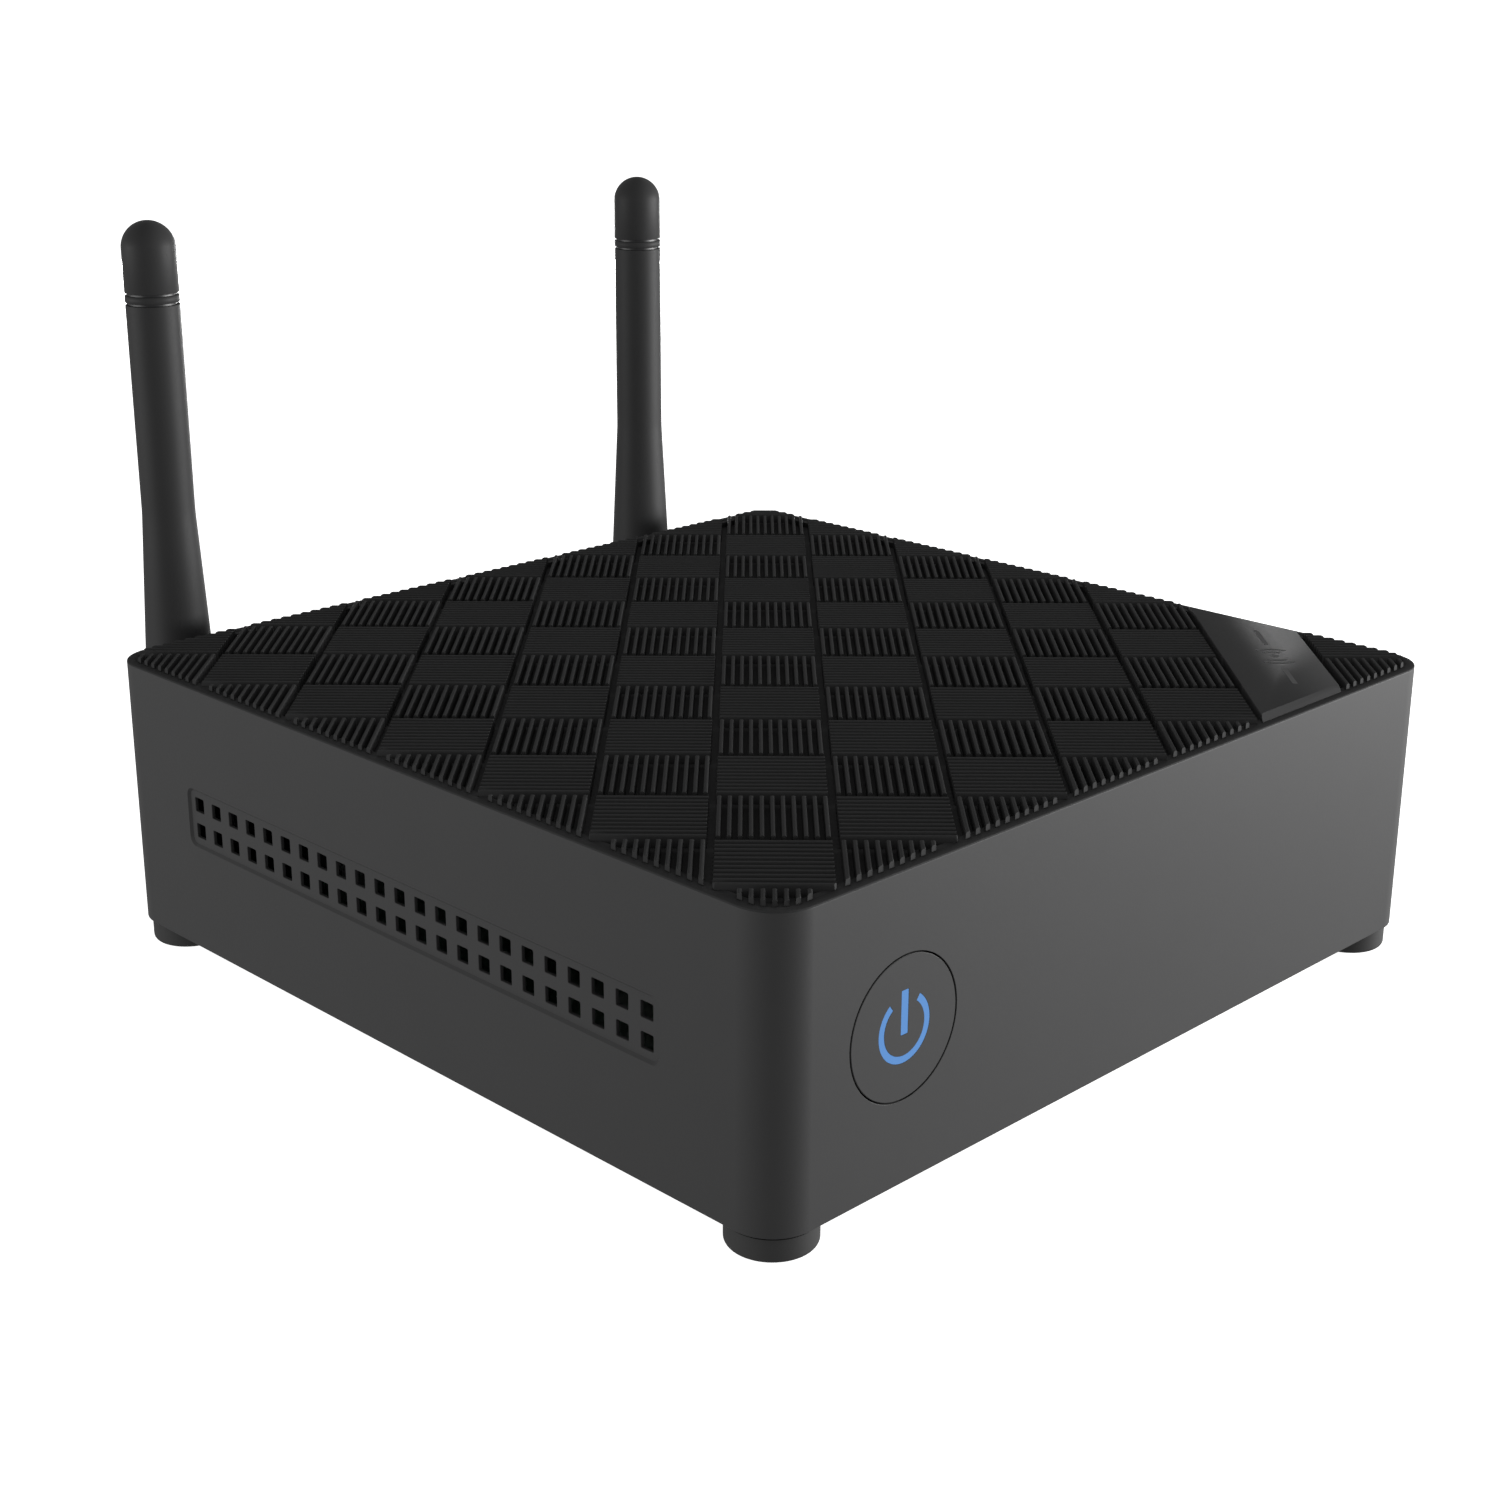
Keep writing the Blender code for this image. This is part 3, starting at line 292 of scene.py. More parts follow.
GRAPHITE = finish("graphite_paint", (0.047, 0.047, 0.0474), 0.50,
                  grain=2600.0, bump=0.10, mottle=0.03, gloss=0.2)
LID_BLACK = finish("lid_black", (0.0440, 0.0440, 0.0444), 0.60,
                   grain=2200.0, bump=0.10, mottle=0.05, gloss=0.03)
BADGE_BLACK = finish("badge_black", (0.055, 0.055, 0.0555), 0.55,
                     grain=2600.0, bump=0.06, mottle=0.04, gloss=0.04)
ANTENNA_BLACK = finish("antenna_black", (0.036, 0.036, 0.0364), 0.50,
                       grain=2200.0, bump=0.08, mottle=0.05, gloss=0.12)
RUBBER = finish("foot_rubber", (0.045, 0.045, 0.045), 0.72,
                grain=1800.0, bump=0.2, mottle=0.08, gloss=0.2)
ICON_BLUE = finish("icon_blue", (0.070, 0.180, 0.400), 0.40,
                   grain=1500.0, bump=0.02, mottle=0.03, gloss=0.2, emission=((0.12, 0.30, 0.68), 0.25))
MARK_GREY = finish("mark_grey", (0.105, 0.105, 0.106), 0.55,
                   grain=2600.0, bump=0.03, mottle=0.04, gloss=0.1)
STEEL = finish("plated_steel", (0.56, 0.56, 0.57), 0.30, metallic=1.0, grain=1500.0, bump=0.05, mottle=0.05)
ALUMINIUM = finish("aluminium", (0.62, 0.62, 0.63), 0.38, metallic=1.0,
                   grain=1200.0, bump=0.08, mottle=0.06)
BRASS = finish("brass", (0.70, 0.48, 0.17), 0.30, metallic=1.0, grain=1200.0, bump=0.04, mottle=0.05)
GOLD = finish("gold_contact", (0.80, 0.56, 0.20), 0.22, metallic=1.0, grain=2000.0, bump=0.02, mottle=0.04)
SOCKET = finish("socket_plastic", (0.016, 0.016, 0.017), 0.42, grain=2000.0, bump=0.06, mottle=0.06)
BOARD = finish("circuit_board", (0.010, 0.075, 0.032), 0.38, grain=700.0, bump=0.12, mottle=0.18)
CHIP = finish("chip_package", (0.014, 0.014, 0.016), 0.48, grain=2400.0, bump=0.10, mottle=0.08)
THERMAL = finish("thermal_rubber", (0.25, 0.30, 0.38), 0.85,
                 grain=1400.0, bump=0.2, mottle=0.08, gloss=0.3)
JACKET = finish("cable_jacket", (0.020, 0.020, 0.020), 0.5, grain=1500.0, bump=0.06, mottle=0.06)
LED = finish("led_lens", (0.75, 0.78, 0.80), 0.25, grain=1500.0, bump=0.02, mottle=0.04)


# ---------------------------------------------------------------- housing
HOUSING_TOP = SEAM - mm(0.03)
BOTTOM_ROUND = mm(0.18)
TOP_ROUND = mm(0.12)
OUTSIDE = mm(2.0)                         # how far a cutter stands out of the wall
FIELD_HALF = (mm(46.3), mm(4.15))         # sunk field around the vents
FIELD_SUNK = mm(0.35)
FIELD_ROUND = mm(0.9)
FIELD_MIDDLE = mm(19.15)
VENT_PITCH = mm(4.0)
VENT_COLUMNS = 23
VENT_ROWS = (mm(17.3), mm(21.0))
VENT_HOLE = mm(1.0)                       # half width of a vent
VENT_ROUND = mm(0.16)
VENT_WEB = mm(0.45)                       # thickness between the vents
VENT_LEVELS = ((mm(0.2), mm(0.60)), (mm(-0.40), 0.0), (mm(-3.0), 0.0))   # height, how much wider
POCKET_MARGIN = (mm(5.0), mm(3.0))        # around the field, where the wall is thin
POCKET_ROUND = mm(1.0)
BUTTON_X = middle_of("power_button").x
BUTTON_Z = FLOOR + mm(19.05)
BUTTON_RADIUS = mm(8.5)
BUTTON_GAP = mm(0.2)
BUTTON_MOUTH = mm(0.04)                   # softened edge of the button's hole
WINDOW_GAP = mm(0.2)                      # around a socket
WINDOW_ROUND = mm(0.5)
WINDOW_MOUTH = mm(0.15)
RESET_HOLE = mm(1.6)
SWIVEL_HOLE = mm(4.0)
HOLE_MOUTH = mm(0.1)
CLEAR = mm(1.0)                           # how far the rear cutters stand out


def side_frames():
    """For each side wall: a frame with x along the wall, y up it and z out of it."""
    for side in (-1, 1):
        turn = Matrix(((0, 0, side), (1, 0, 0), (0, 1, 0))).to_4x4()
        yield Matrix.Translation((side * HALF, MID_Y, FLOOR)) @ turn


def make_housing():
    """The four walls in one shell, with vents, the button's hole and the rear openings."""
    inner = HALF - WALL
    levels = [(HALF - BOTTOM_ROUND, FLOOR)]
    for r, z in arc(BOTTOM_ROUND, -60, 0, 3):
        levels.append((HALF - BOTTOM_ROUND + r, FLOOR + BOTTOM_ROUND + z))
    for r, z in arc(TOP_ROUND, 0, 90, 3):
        levels.append((HALF - TOP_ROUND + r, HOUSING_TOP - TOP_ROUND + z))
    levels += [(inner, HOUSING_TOP), (inner, FLOOR)]
    shell = bmesh.new()
    skin(shell, [square_ring(half, z) for half, z in levels], closed=True)

    fields = bmesh.new()
    pockets = bmesh.new()
    for place in side_frames():
        levels = []
        for height in (OUTSIDE, -FIELD_SUNK):
            grow = height + FIELD_SUNK    # the field's sides slope at 45 degrees
            outline = rounded_rectangle(FIELD_HALF[0] - FIELD_SUNK + grow,
                                        FIELD_HALF[1] - FIELD_SUNK + grow, FIELD_ROUND + grow)
            levels.append((height, shifted(outline, 0.0, FIELD_MIDDLE)))
        loft_outline(fields, levels, place)
        outline = rounded_rectangle(FIELD_HALF[0] + POCKET_MARGIN[0], FIELD_HALF[1] + POCKET_MARGIN[1],
                                    POCKET_ROUND, 4)
        outline = shifted(outline, 0.0, FIELD_MIDDLE)
        loft_outline(pockets, [(-WALL - CLEAR, outline), (-FIELD_SUNK - VENT_WEB, outline)], place)
    shell = boolean(shell, fields)
    shell = boolean(shell, pockets)

    holes = bmesh.new()
    add_vents(holes)
    into = pointing((0, 1, 0), (BUTTON_X, FRONT, BUTTON_Z))
    hole = BUTTON_RADIUS + BUTTON_GAP
    profile = [(0, -WALL), (hole + WALL + BUTTON_MOUTH, -WALL), (hole, BUTTON_MOUTH),
               (hole, 2 * WALL), (0, 2 * WALL)]
    lathe(profile, sides=96, place=into, bm=holes)
    add_rear_openings(holes)
    shell = boolean(shell, holes)
    piece("housing_shell", shell, "case", GRAPHITE, ["housing"],
          sharp=28.0, weighted=True)


def add_vents(bm):
    """Cutters for the two rows of square vents in each side wall."""
    for place in side_frames():
        for column in range(VENT_COLUMNS):
            along = (column - (VENT_COLUMNS - 1) / 2.0) * VENT_PITCH
            for row in VENT_ROWS:
                levels = []
                for height, grow in VENT_LEVELS:
                    half = VENT_HOLE + grow
                    outline = rounded_rectangle(half, half, VENT_ROUND + grow, 3)
                    levels.append((height, shifted(outline, along, row)))
                loft_outline(bm, levels, place)


def add_rear_openings(bm):
    """Cutters for the sockets' windows and for the round holes, each softened at its mouth."""
    for name in ("ethernet_jack_1", "ethernet_jack_2", "ethernet_jack_3", "dc_jack"):
        low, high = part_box(name)
        middle = middle_of(name)
        place = Matrix.Translation((middle.x, REAR, middle.z)) @ REARWARD
        half_a = (high.x - low.x) / 2.0 + WINDOW_GAP
        half_b = (high.z - low.z) / 2.0 + WINDOW_GAP
        levels = []
        for height, wider in ((CLEAR, CLEAR + WINDOW_MOUTH), (-WINDOW_MOUTH, 0.0), (-2 * WALL, 0.0)):
            outline = rounded_rectangle(half_a + wider, half_b + wider, WINDOW_ROUND + wider, 5)
            levels.append((height, outline))
        loft_outline(bm, levels, place)
    rounds = (("reset_button", RESET_HOLE), ("antenna_base_left", SWIVEL_HOLE),
              ("antenna_base_right", SWIVEL_HOLE))
    for name, radius in rounds:
        middle = middle_of(name)
        outward = pointing((0, 1, 0), (middle.x, REAR, middle.z))
        mouth = radius + CLEAR + HOLE_MOUTH
        profile = [(0, -2 * WALL), (radius, -2 * WALL), (radius, -HOLE_MOUTH), (mouth, CLEAR), (0, CLEAR)]
        lathe(profile, sides=48, place=outward, bm=bm)


# ---------------------------------------------------------------- rear sockets
JACK_MOUTH = (mm(5.9), mm(4.0), mm(11.2))     # half width, floor and roof of a network socket
JACK_NOTCH = (mm(3.1), mm(1.3))               # half width and floor of its latch notch
JACK_DEPTH = mm(12.0)
INSERT_GAP = mm(0.04)
INSERT_WALL = mm(0.45)                        # from the socket's side to the insert's inner side
INSERT_END = mm(0.1)                          # from the socket's end to the insert's
INSERT_FLOOR = mm(0.6)                        # from the socket's end to the insert's inner end
INSERT_SET_BACK = mm(0.5)
CONTACTS = 8
CONTACT_PITCH = mm(1.02)
CONTACT_HALF = (mm(0.2), mm(0.12))
CONTACT_ROUND = mm(0.05)
CONTACT_ROOT = mm(0.6)                        # below the socket's roof
CONTACT_BENDS = (                             # depth behind the mouth, and drop
    (mm(2.0), mm(0.1)), (mm(3.2), mm(0.15)), (mm(8.6), mm(2.5)), (mm(9.4), mm(2.6)),
)
POWER_PIN = [(0, mm(-9.8)), (mm(1.08), mm(-9.8)), (mm(1.08), mm(-1.95)), (mm(1.0), mm(-1.65)),
             (mm(0.75), mm(-1.45)), (0, mm(-1.4))]


def jack_outline(inset):
    """The mouth of a network socket with its latch notch, drawn in by an inset."""
    half, floor, roof = JACK_MOUTH
    notch, bottom = JACK_NOTCH
    right = [(notch - inset, bottom + inset), (notch - inset, floor + inset),
             (half - inset, floor + inset), (half - inset, roof - inset)]
    return right + [(-a, b) for a, b in reversed(right)]


def make_jacks():
    """A plastic insert and eight sprung contacts in each socket, and the power inlet's pin."""
    outer = jack_outline(INSERT_GAP)
    inner = jack_outline(INSERT_WALL)
    levels = [(INSERT_FLOOR - JACK_DEPTH, inner), (-INSERT_SET_BACK, inner),
              (-INSERT_SET_BACK, outer), (INSERT_END - JACK_DEPTH, outer)]
    for index in (1, 2, 3):
        low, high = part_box(f"ethernet_jack_{index}")
        place = Matrix.Translation(((low.x + high.x) / 2.0, high.y, low.z)) @ REARWARD
        insert = loft_outline(bmesh.new(), levels, place)
        piece(f"jack_insert_{index}", insert, "case", SOCKET, ())
        springs = bmesh.new()
        for contact in range(CONTACTS):
            across = (contact - (CONTACTS - 1) / 2.0) * CONTACT_PITCH
            bends = []
            for depth, drop in CONTACT_BENDS:
                outline = rounded_rectangle(*CONTACT_HALF, CONTACT_ROUND, 2)
                bends.append((-depth, shifted(outline, across, JACK_MOUTH[2] - CONTACT_ROOT - drop)))
            loft_outline(springs, bends, place)
        piece(f"jack_contacts_{index}", springs, "case", GOLD, ())
    middle = middle_of("dc_jack")
    place = pointing((0, 1, 0), (middle.x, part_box("dc_jack")[1].y, middle.z))
    piece("dc_pin_sleeve", lathe(POWER_PIN, sides=32, place=place), "case", STEEL, (), sharp=40.0)


# ---------------------------------------------------------------- lid
LEDGE_Z = SEAM + mm(0.12)
LEDGE = mm(1.25)                          # flat border around the ribs
RIB_TOP = SEAM + mm(0.79)
RIB_HEIGHT = mm(1.55)
VALLEY = RIB_TOP - RIB_HEIGHT
SUNK = mm(-0.25)                          # how far a bar reaches into the plate under it
CELL = mm(13.6)                           # pitch of the rib cells
ROW_PITCH = mm(13.72)                     # cells along a band
CELL_HALF = mm(6.4)                       # half the length of a rib
RIB_PITCH = mm(1.2)
RIBS = 11
RIB_END_SLOPE = 0.08
END_EASE = 0.6                            # share of a line's setback that the border adds
SHORTEST_BAR = mm(0.12)
SMALLEST_ROUND = mm(0.5)
RIB_SIDE = [                              # each line: sideways, height above the valley, end setback
    (mm(0.19), RIB_HEIGHT - mm(0.05), mm(0.08)),
    (mm(0.26), RIB_HEIGHT - mm(0.18), 0.0),
    (mm(0.29), 0.0, 0.0),
    (mm(0.31), SUNK, 0.0),
]
RIB_CREST = (0.0, RIB_HEIGHT, mm(0.14))
BADGE_BAND = 5                            # the band of cells that the badge takes
BADGE_STEP = LEDGE_Z - VALLEY + mm(0.02)  # the badge's end slopes down to the border's level
BADGE_BASE = [(CELL_HALF, BADGE_STEP + mm(0.02), 0.0), (CELL_HALF, SUNK, 0.0)]
BADGE_CROWN = [
    (CELL_HALF - mm(0.30), RIB_HEIGHT, mm(0.08)),
    (CELL_HALF - mm(0.08), RIB_HEIGHT - mm(0.08), mm(0.02)),
    (CELL_HALF - mm(0.01), RIB_HEIGHT - mm(0.30), 0.0),
    (CELL_HALF - mm(0.01), BADGE_STEP, 0.0),
]
BADGE_BASE_SLOPE = 0.02
BADGE_CROWN_SLOPE = 1.5
LID_UNDER = SEAM - mm(1.6)
LID_EDGE = mm(0.14)
LID_FIT = mm(0.3)                         # between the lid's skirt and the walls
LID_SEAM = mm(0.02)
LEDGE_SOFT = (mm(0.12), mm(0.04), mm(0.05))   # inner edge of the border: two widths and a drop
DIAGONAL = math.sqrt(0.5)
ALONG_T = (DIAGONAL, DIAGONAL)            # away from the front left corner
ALONG_S = (DIAGONAL, -DIAGONAL)           # towards the front right corner


def inside_depth(x, y, half, radius):
    """How far a point is outside a rounded square about the middle (negative is inside)."""
    a = max(abs(x) - (half - radius), 0.0)
    b = max(abs(y) - (half - radius), 0.0)
    if a == 0.0 and b == 0.0:
        return max(abs(x), abs(y)) - half
    return math.hypot(a, b) - radius


def clip_span(start, way, low, high, inset):
    """The stretch of a straight line that lies inside the lid's outline, drawn in by an inset."""
    half = HALF - inset
    radius = max(RADIUS - inset, SMALLEST_ROUND)

    def depth(t):
        """How far the point at t along the line is outside."""
        return inside_depth(start[0] + way[0] * t, start[1] + way[1] * t, half, radius)

    left, right = low, high
    for _ in range(26):                   # narrows down to the deepest point
        third = (right - left) / 3.0
        if depth(left + third) < depth(right - third):
            right -= third
        else:
            left += third
    best = (left + right) / 2.0
    if depth(best) >= 0.0:
        return None
    ends = []
    for limit in (low, high):
        if depth(limit) <= 0.0:
            ends.append(limit)
            continue
        within, beyond = best, limit
        for _ in range(22):               # halves down to the outline
            middle = (within + beyond) / 2.0
            if depth(middle) < 0.0:
                within = middle
            else:
                beyond = middle
        ends.append(within)
    return ends


def mirrored(side, crest=()):
    """A whole cross section from its right side, top to bottom, and the lines on its middle."""
    left = [(-across, height, setback) for across, height, setback in reversed(side)]
    return [*left, *crest, *side]


def add_bar(bm, profile, along, across, middle, half_length, slope, slope_from=0.0):
    """A straight bar with the given cross section, whose ends lean in where they meet the border."""
    starts = []
    stops = []
    for sideways, height, setback in profile:
        start = (middle[0] + across[0] * sideways, middle[1] + across[1] * sideways)
        inset = LEDGE + slope * max(height - slope_from, 0.0) + END_EASE * setback
        span = clip_span(start, along, -half_length + setback, half_length - setback, inset)
        if span is None:
            return
        for ends, reach in zip((starts, stops), span):
            x = start[0] + along[0] * reach
            y = MID_Y + start[1] + along[1] * reach
            ends.append((x, y, VALLEY + height))
    lengths = [math.dist(a[:2], b[:2]) for a, b in zip(starts, stops)]
    if min(lengths) >= SHORTEST_BAR:
        skin(bm, [starts, stops])


def diagonal_point(s, t):
    """A point of the lid from its places along the two diagonals."""
    return (s * ALONG_S[0] + t * ALONG_T[0], s * ALONG_S[1] + t * ALONG_T[1])


def add_ribs(bm):
    """Every rib of the lid: cells in diagonal bands, turned a quarter from one to the next."""
    profile = mirrored(RIB_SIDE, [RIB_CREST])
    reach = int(math.sqrt(2.0) * HALF / CELL) + 2
    for band in range(-reach, reach + 1):
        if band == BADGE_BAND:
            continue
        for row in range(-reach, reach + 1):
            s = band * CELL
            t = (row + 0.5) * ROW_PITCH
            if max(abs(place) for place in diagonal_point(s, t)) > HALF + CELL:
                continue
            for index in range(RIBS):
                offset = (index - (RIBS - 1) / 2.0) * RIB_PITCH
                if (band + row) % 2:
                    middle = diagonal_point(s + offset, t)
                    add_bar(bm, profile, ALONG_T, ALONG_S, middle, CELL_HALF, RIB_END_SLOPE)
                else:
                    middle = diagonal_point(s, t + offset)
                    add_bar(bm, profile, ALONG_S, ALONG_T, middle, CELL_HALF, RIB_END_SLOPE)


def make_lid():
    """The lid's plate with its border and ribs, and the badge in one of the bands."""
    inner = HALF - WALL - LID_FIT
    rim = HALF - LEDGE
    levels = [(inner, LID_UNDER), (inner, SEAM + LID_SEAM), (HALF - LID_SEAM, SEAM + LID_SEAM)]
    levels += [(HALF - LID_EDGE + r, LEDGE_Z - LID_EDGE + z) for r, z in arc(LID_EDGE, 0, 90, 4)]
    wide, narrow, drop = LEDGE_SOFT
    levels += [(rim + wide, LEDGE_Z), (rim + narrow, LEDGE_Z - drop), (rim, VALLEY)]
    plate = bmesh.new()
    skin(plate, [square_ring(half, z) for half, z in levels])
    add_ribs(plate)
    piece("lid_ribbed", plate, "case", LID_BLACK, ["top_cover"], sharp=34.0)

    badge = bmesh.new()
    middle = diagonal_point(BADGE_BAND * CELL, 0.0)
    for side, slope in ((BADGE_BASE, BADGE_BASE_SLOPE), (BADGE_CROWN, BADGE_CROWN_SLOPE)):
        add_bar(badge, mirrored(side), ALONG_T, ALONG_S, middle, HALF, slope, BADGE_STEP)
    piece("badge_smooth", badge, "case", BADGE_BLACK, ["badge_plate"], sharp=25.0)


MARK_PLACE = (BADGE_BAND * CELL + mm(0.7), mm(0.2))
MARK_DOT = mm(0.62)
MARK_ARCS = (mm(1.9), mm(3.2))
MARK_SPREAD = 38.0                        # degrees that an arc reaches to each side
MARK_STROKE = mm(0.32)                    # half the width of an arc's line
MARK_DASH = (mm(3.6), mm(0.34))
MARK_DASH_AT = mm(9.0)
MARK_LEVELS = (mm(-0.05), mm(0.02))       # just proud of the badge


def make_mark():
    """A plain mark printed on the badge: a dot with two signal arcs on each side, and two dashes."""
    x, y = diagonal_point(*MARK_PLACE)
    turn = Matrix(((ALONG_T[0], ALONG_S[0], 0), (ALONG_T[1], ALONG_S[1], 0), (0, 0, 1))).to_4x4()
    place = Matrix.Translation((x, MID_Y + y, RIB_TOP)) @ turn
    shapes = [arc(MARK_DOT, 0, 345, 23)]
    for side in (0, 180):
        first, last = side - MARK_SPREAD, side + MARK_SPREAD
        for radius in MARK_ARCS:
            shapes.append(arc(radius + MARK_STROKE, first, last, 14)
                          + arc(radius - MARK_STROKE, last, first, 14))
    for side in (-1, 1):
        shapes.append(shifted(rounded_rectangle(*MARK_DASH, mm(0.25), 4), side * MARK_DASH_AT, 0.0))
    bm = bmesh.new()
    for outline in shapes:
        loft_outline(bm, [(height, outline) for height in MARK_LEVELS], place)
    piece("badge_mark", bm, "case", MARK_GREY, (), sharp=40.0)


# ---------------------------------------------------------------- power button
CAP_EDGE = mm(0.06)
CAP_FACE = mm(1.2)                        # thickness of its face
CAP_INNER = mm(7.3)
CAP_COLLAR = mm(9.8)                      # collar behind the wall
CAP_COLLAR_DEPTH = mm(1.0)
CAP_TRAVEL_GAP = mm(0.3)
ICON_RADIUS = mm(3.7)
ICON_STROKE = mm(0.85)
ICON_OPEN = 36.0                          # degrees left open to each side of the top
ICON_BAR = (mm(0.55), mm(-0.75), mm(4.5))   # half width, lowest and highest point
ICON_GAP = mm(0.03)
ICON_DEPTH = (mm(0.02), mm(0.58))
ICON_CUT = (mm(-1.0), mm(0.6))


def icon_solids(grow, depths):
    """The ring and the bar of the power icon, between two depths behind the button's face."""
    place = Matrix.Translation((BUTTON_X, FRONT, BUTTON_Z)) @ INWARD
    inner = ICON_RADIUS - ICON_STROKE / 2.0 - grow
    outer = ICON_RADIUS + ICON_STROKE / 2.0 + grow
    spread = ICON_OPEN - math.degrees(grow / ICON_RADIUS)
    first, last = 90 + spread, 450 - spread
    ring = arc(outer, first, last, 72) + arc(inner, last, first, 72)
    width, bottom, top = ICON_BAR
    bar = rounded_rectangle(width + grow, (top - bottom) / 2.0 + grow, mm(0.1), 4)
    bar = shifted(bar, 0.0, (top + bottom) / 2.0)
    bm = bmesh.new()
    for outline in (ring, bar):
        loft_outline(bm, [(depth, outline) for depth in depths], place)
    return bm


def make_button():
    """The hollow button cap with its collar, and the light guide in its face."""
    into = pointing((0, 1, 0), (BUTTON_X, FRONT, BUTTON_Z))
    near = WALL + CAP_TRAVEL_GAP
    far = near + CAP_COLLAR_DEPTH
    profile = [(0, 0.0), (BUTTON_RADIUS - CAP_EDGE, 0.0), (BUTTON_RADIUS, CAP_EDGE),
               (BUTTON_RADIUS, near), (CAP_COLLAR, near), (CAP_COLLAR, far), (CAP_INNER, far),
               (CAP_INNER, CAP_FACE), (0, CAP_FACE)]
    cap = boolean(lathe(profile, sides=128, place=into), icon_solids(ICON_GAP, ICON_CUT))
    piece("power_button_cap", cap, "power_button_cap", GRAPHITE, ["power_button"],
          sharp=25.0, weighted=True)
    piece("power_icon", icon_solids(0.0, ICON_DEPTH), "power_button_cap", ICON_BLUE,
          ["power_icon_light_guide"], sharp=40.0)


# ---------------------------------------------------------------- feet
FOOT_ROUND = mm(0.7)
FOOT_INTO = mm(0.35)                      # how far a foot reaches into the base
FOOT_REVEAL = mm(0.75)                    # from a foot's top down to its shoulder
FOOT_NECK = mm(1.8)                       # how far the neck is set in
FOOT_DISH = mm(1.2)                       # how far the shoulder falls towards the neck


def make_feet():
    """Four round rubber feet, each with a thin dark gap under the housing."""
    for name in ("front_left", "front_right", "rear_left", "rear_right"):
        low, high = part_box(f"foot_{name}")
        radius = (high.x - low.x) / 2.0
        middle = middle_of(f"foot_{name}")
        height = FLOOR - low.z + FOOT_INTO
        shoulder = height - FOOT_REVEAL
        neck = radius - FOOT_NECK
        profile = [(0, 0)]
        profile += [(radius - FOOT_ROUND + r, FOOT_ROUND + z) for r, z in arc(FOOT_ROUND, -90, 0, 8)]
        profile += [(radius, shoulder), (neck, shoulder - FOOT_DISH), (neck, height), (0, height)]
        foot = lathe(profile, sides=72, place=Matrix.Translation((middle.x, middle.y, low.z)))
        piece(f"foot_rubber_{name}", foot, "case", RUBBER, [f"foot_{name}"], sharp=35.0)


# ---------------------------------------------------------------- antennas
ANTENNA_TOP = FLOOR + mm(93.9)
ANTENNA_KINK = FLOOR + mm(52.9)           # the sleeve widens below this height
ANTENNA_RADIUS = mm(3.75)
ANTENNA_TAPER = 0.0504
KINK_CURVE = ((mm(0.07), mm(-1.4)), (mm(0.02), mm(-0.4)), (0.0, mm(0.8)))   # wider by, at height
GROOVES = (FLOOR + mm(82.6), FLOOR + mm(83.9))
GROOVE_HALF = mm(0.15)
GROOVE_EDGE = mm(0.12)
BAND_EDGE = mm(0.10)
BAND_DEPTH = mm(1.5)
NECK_INSET = mm(0.35)
NECK_REACH = mm(0.4)
FORK_SLOT = (mm(2.3), mm(8.0))            # half width and half height of the fork's slot
FORK_ROUND = mm(1.2)
FORK_DEEP = mm(18.0)
FORK_TOP = mm(5.9)                        # above the hinge
FORK_FRONT = mm(9.0)
PIN_RADIUS = mm(1.2)
PIN_EDGE = mm(0.2)
PIN_SET_IN = mm(0.65)
ARM_BORE = (mm(1.32), mm(8.0))            # radius and half length
BASE_BORE = (mm(1.28), mm(5.0))
TONGUE_HALF = mm(2.0)
TONGUE_SET_IN = mm(0.6)
TONGUE_EDGE = mm(0.3)
STEM_INSET = mm(0.02)
STEM_REACH = mm(9.0)
STEM_HALF = mm(3.0)
STEM_EDGE = mm(0.4)
FLANGE_RADIUS = mm(5.9)
FLANGE_GAP = mm(0.25)                     # between the flange and the wall
FLANGE_EDGE = mm(0.25)
SHANK = (mm(3.7), -WALL - mm(4.0))        # radius, and its end inside the housing
CONE = [(FLANGE_RADIUS, mm(1.9)), (mm(5.75), mm(2.15)), (mm(4.9), mm(2.9)), (mm(3.8), mm(5.0)),
        (mm(3.5), mm(5.2)), (0, mm(5.2))]


def rod(radius, half, sides, place, edge=0.0):
    """A round bar about the middle of a frame's z axis, with softened ends."""
    profile = [(0, -half), (radius - edge, -half), (radius, edge - half), (radius, half - edge),
               (radius - edge, half), (0, half)]
    if not edge:
        profile = [(0, -half), (radius, -half), (radius, half), (0, half)]
    return lathe(profile, sides, place)


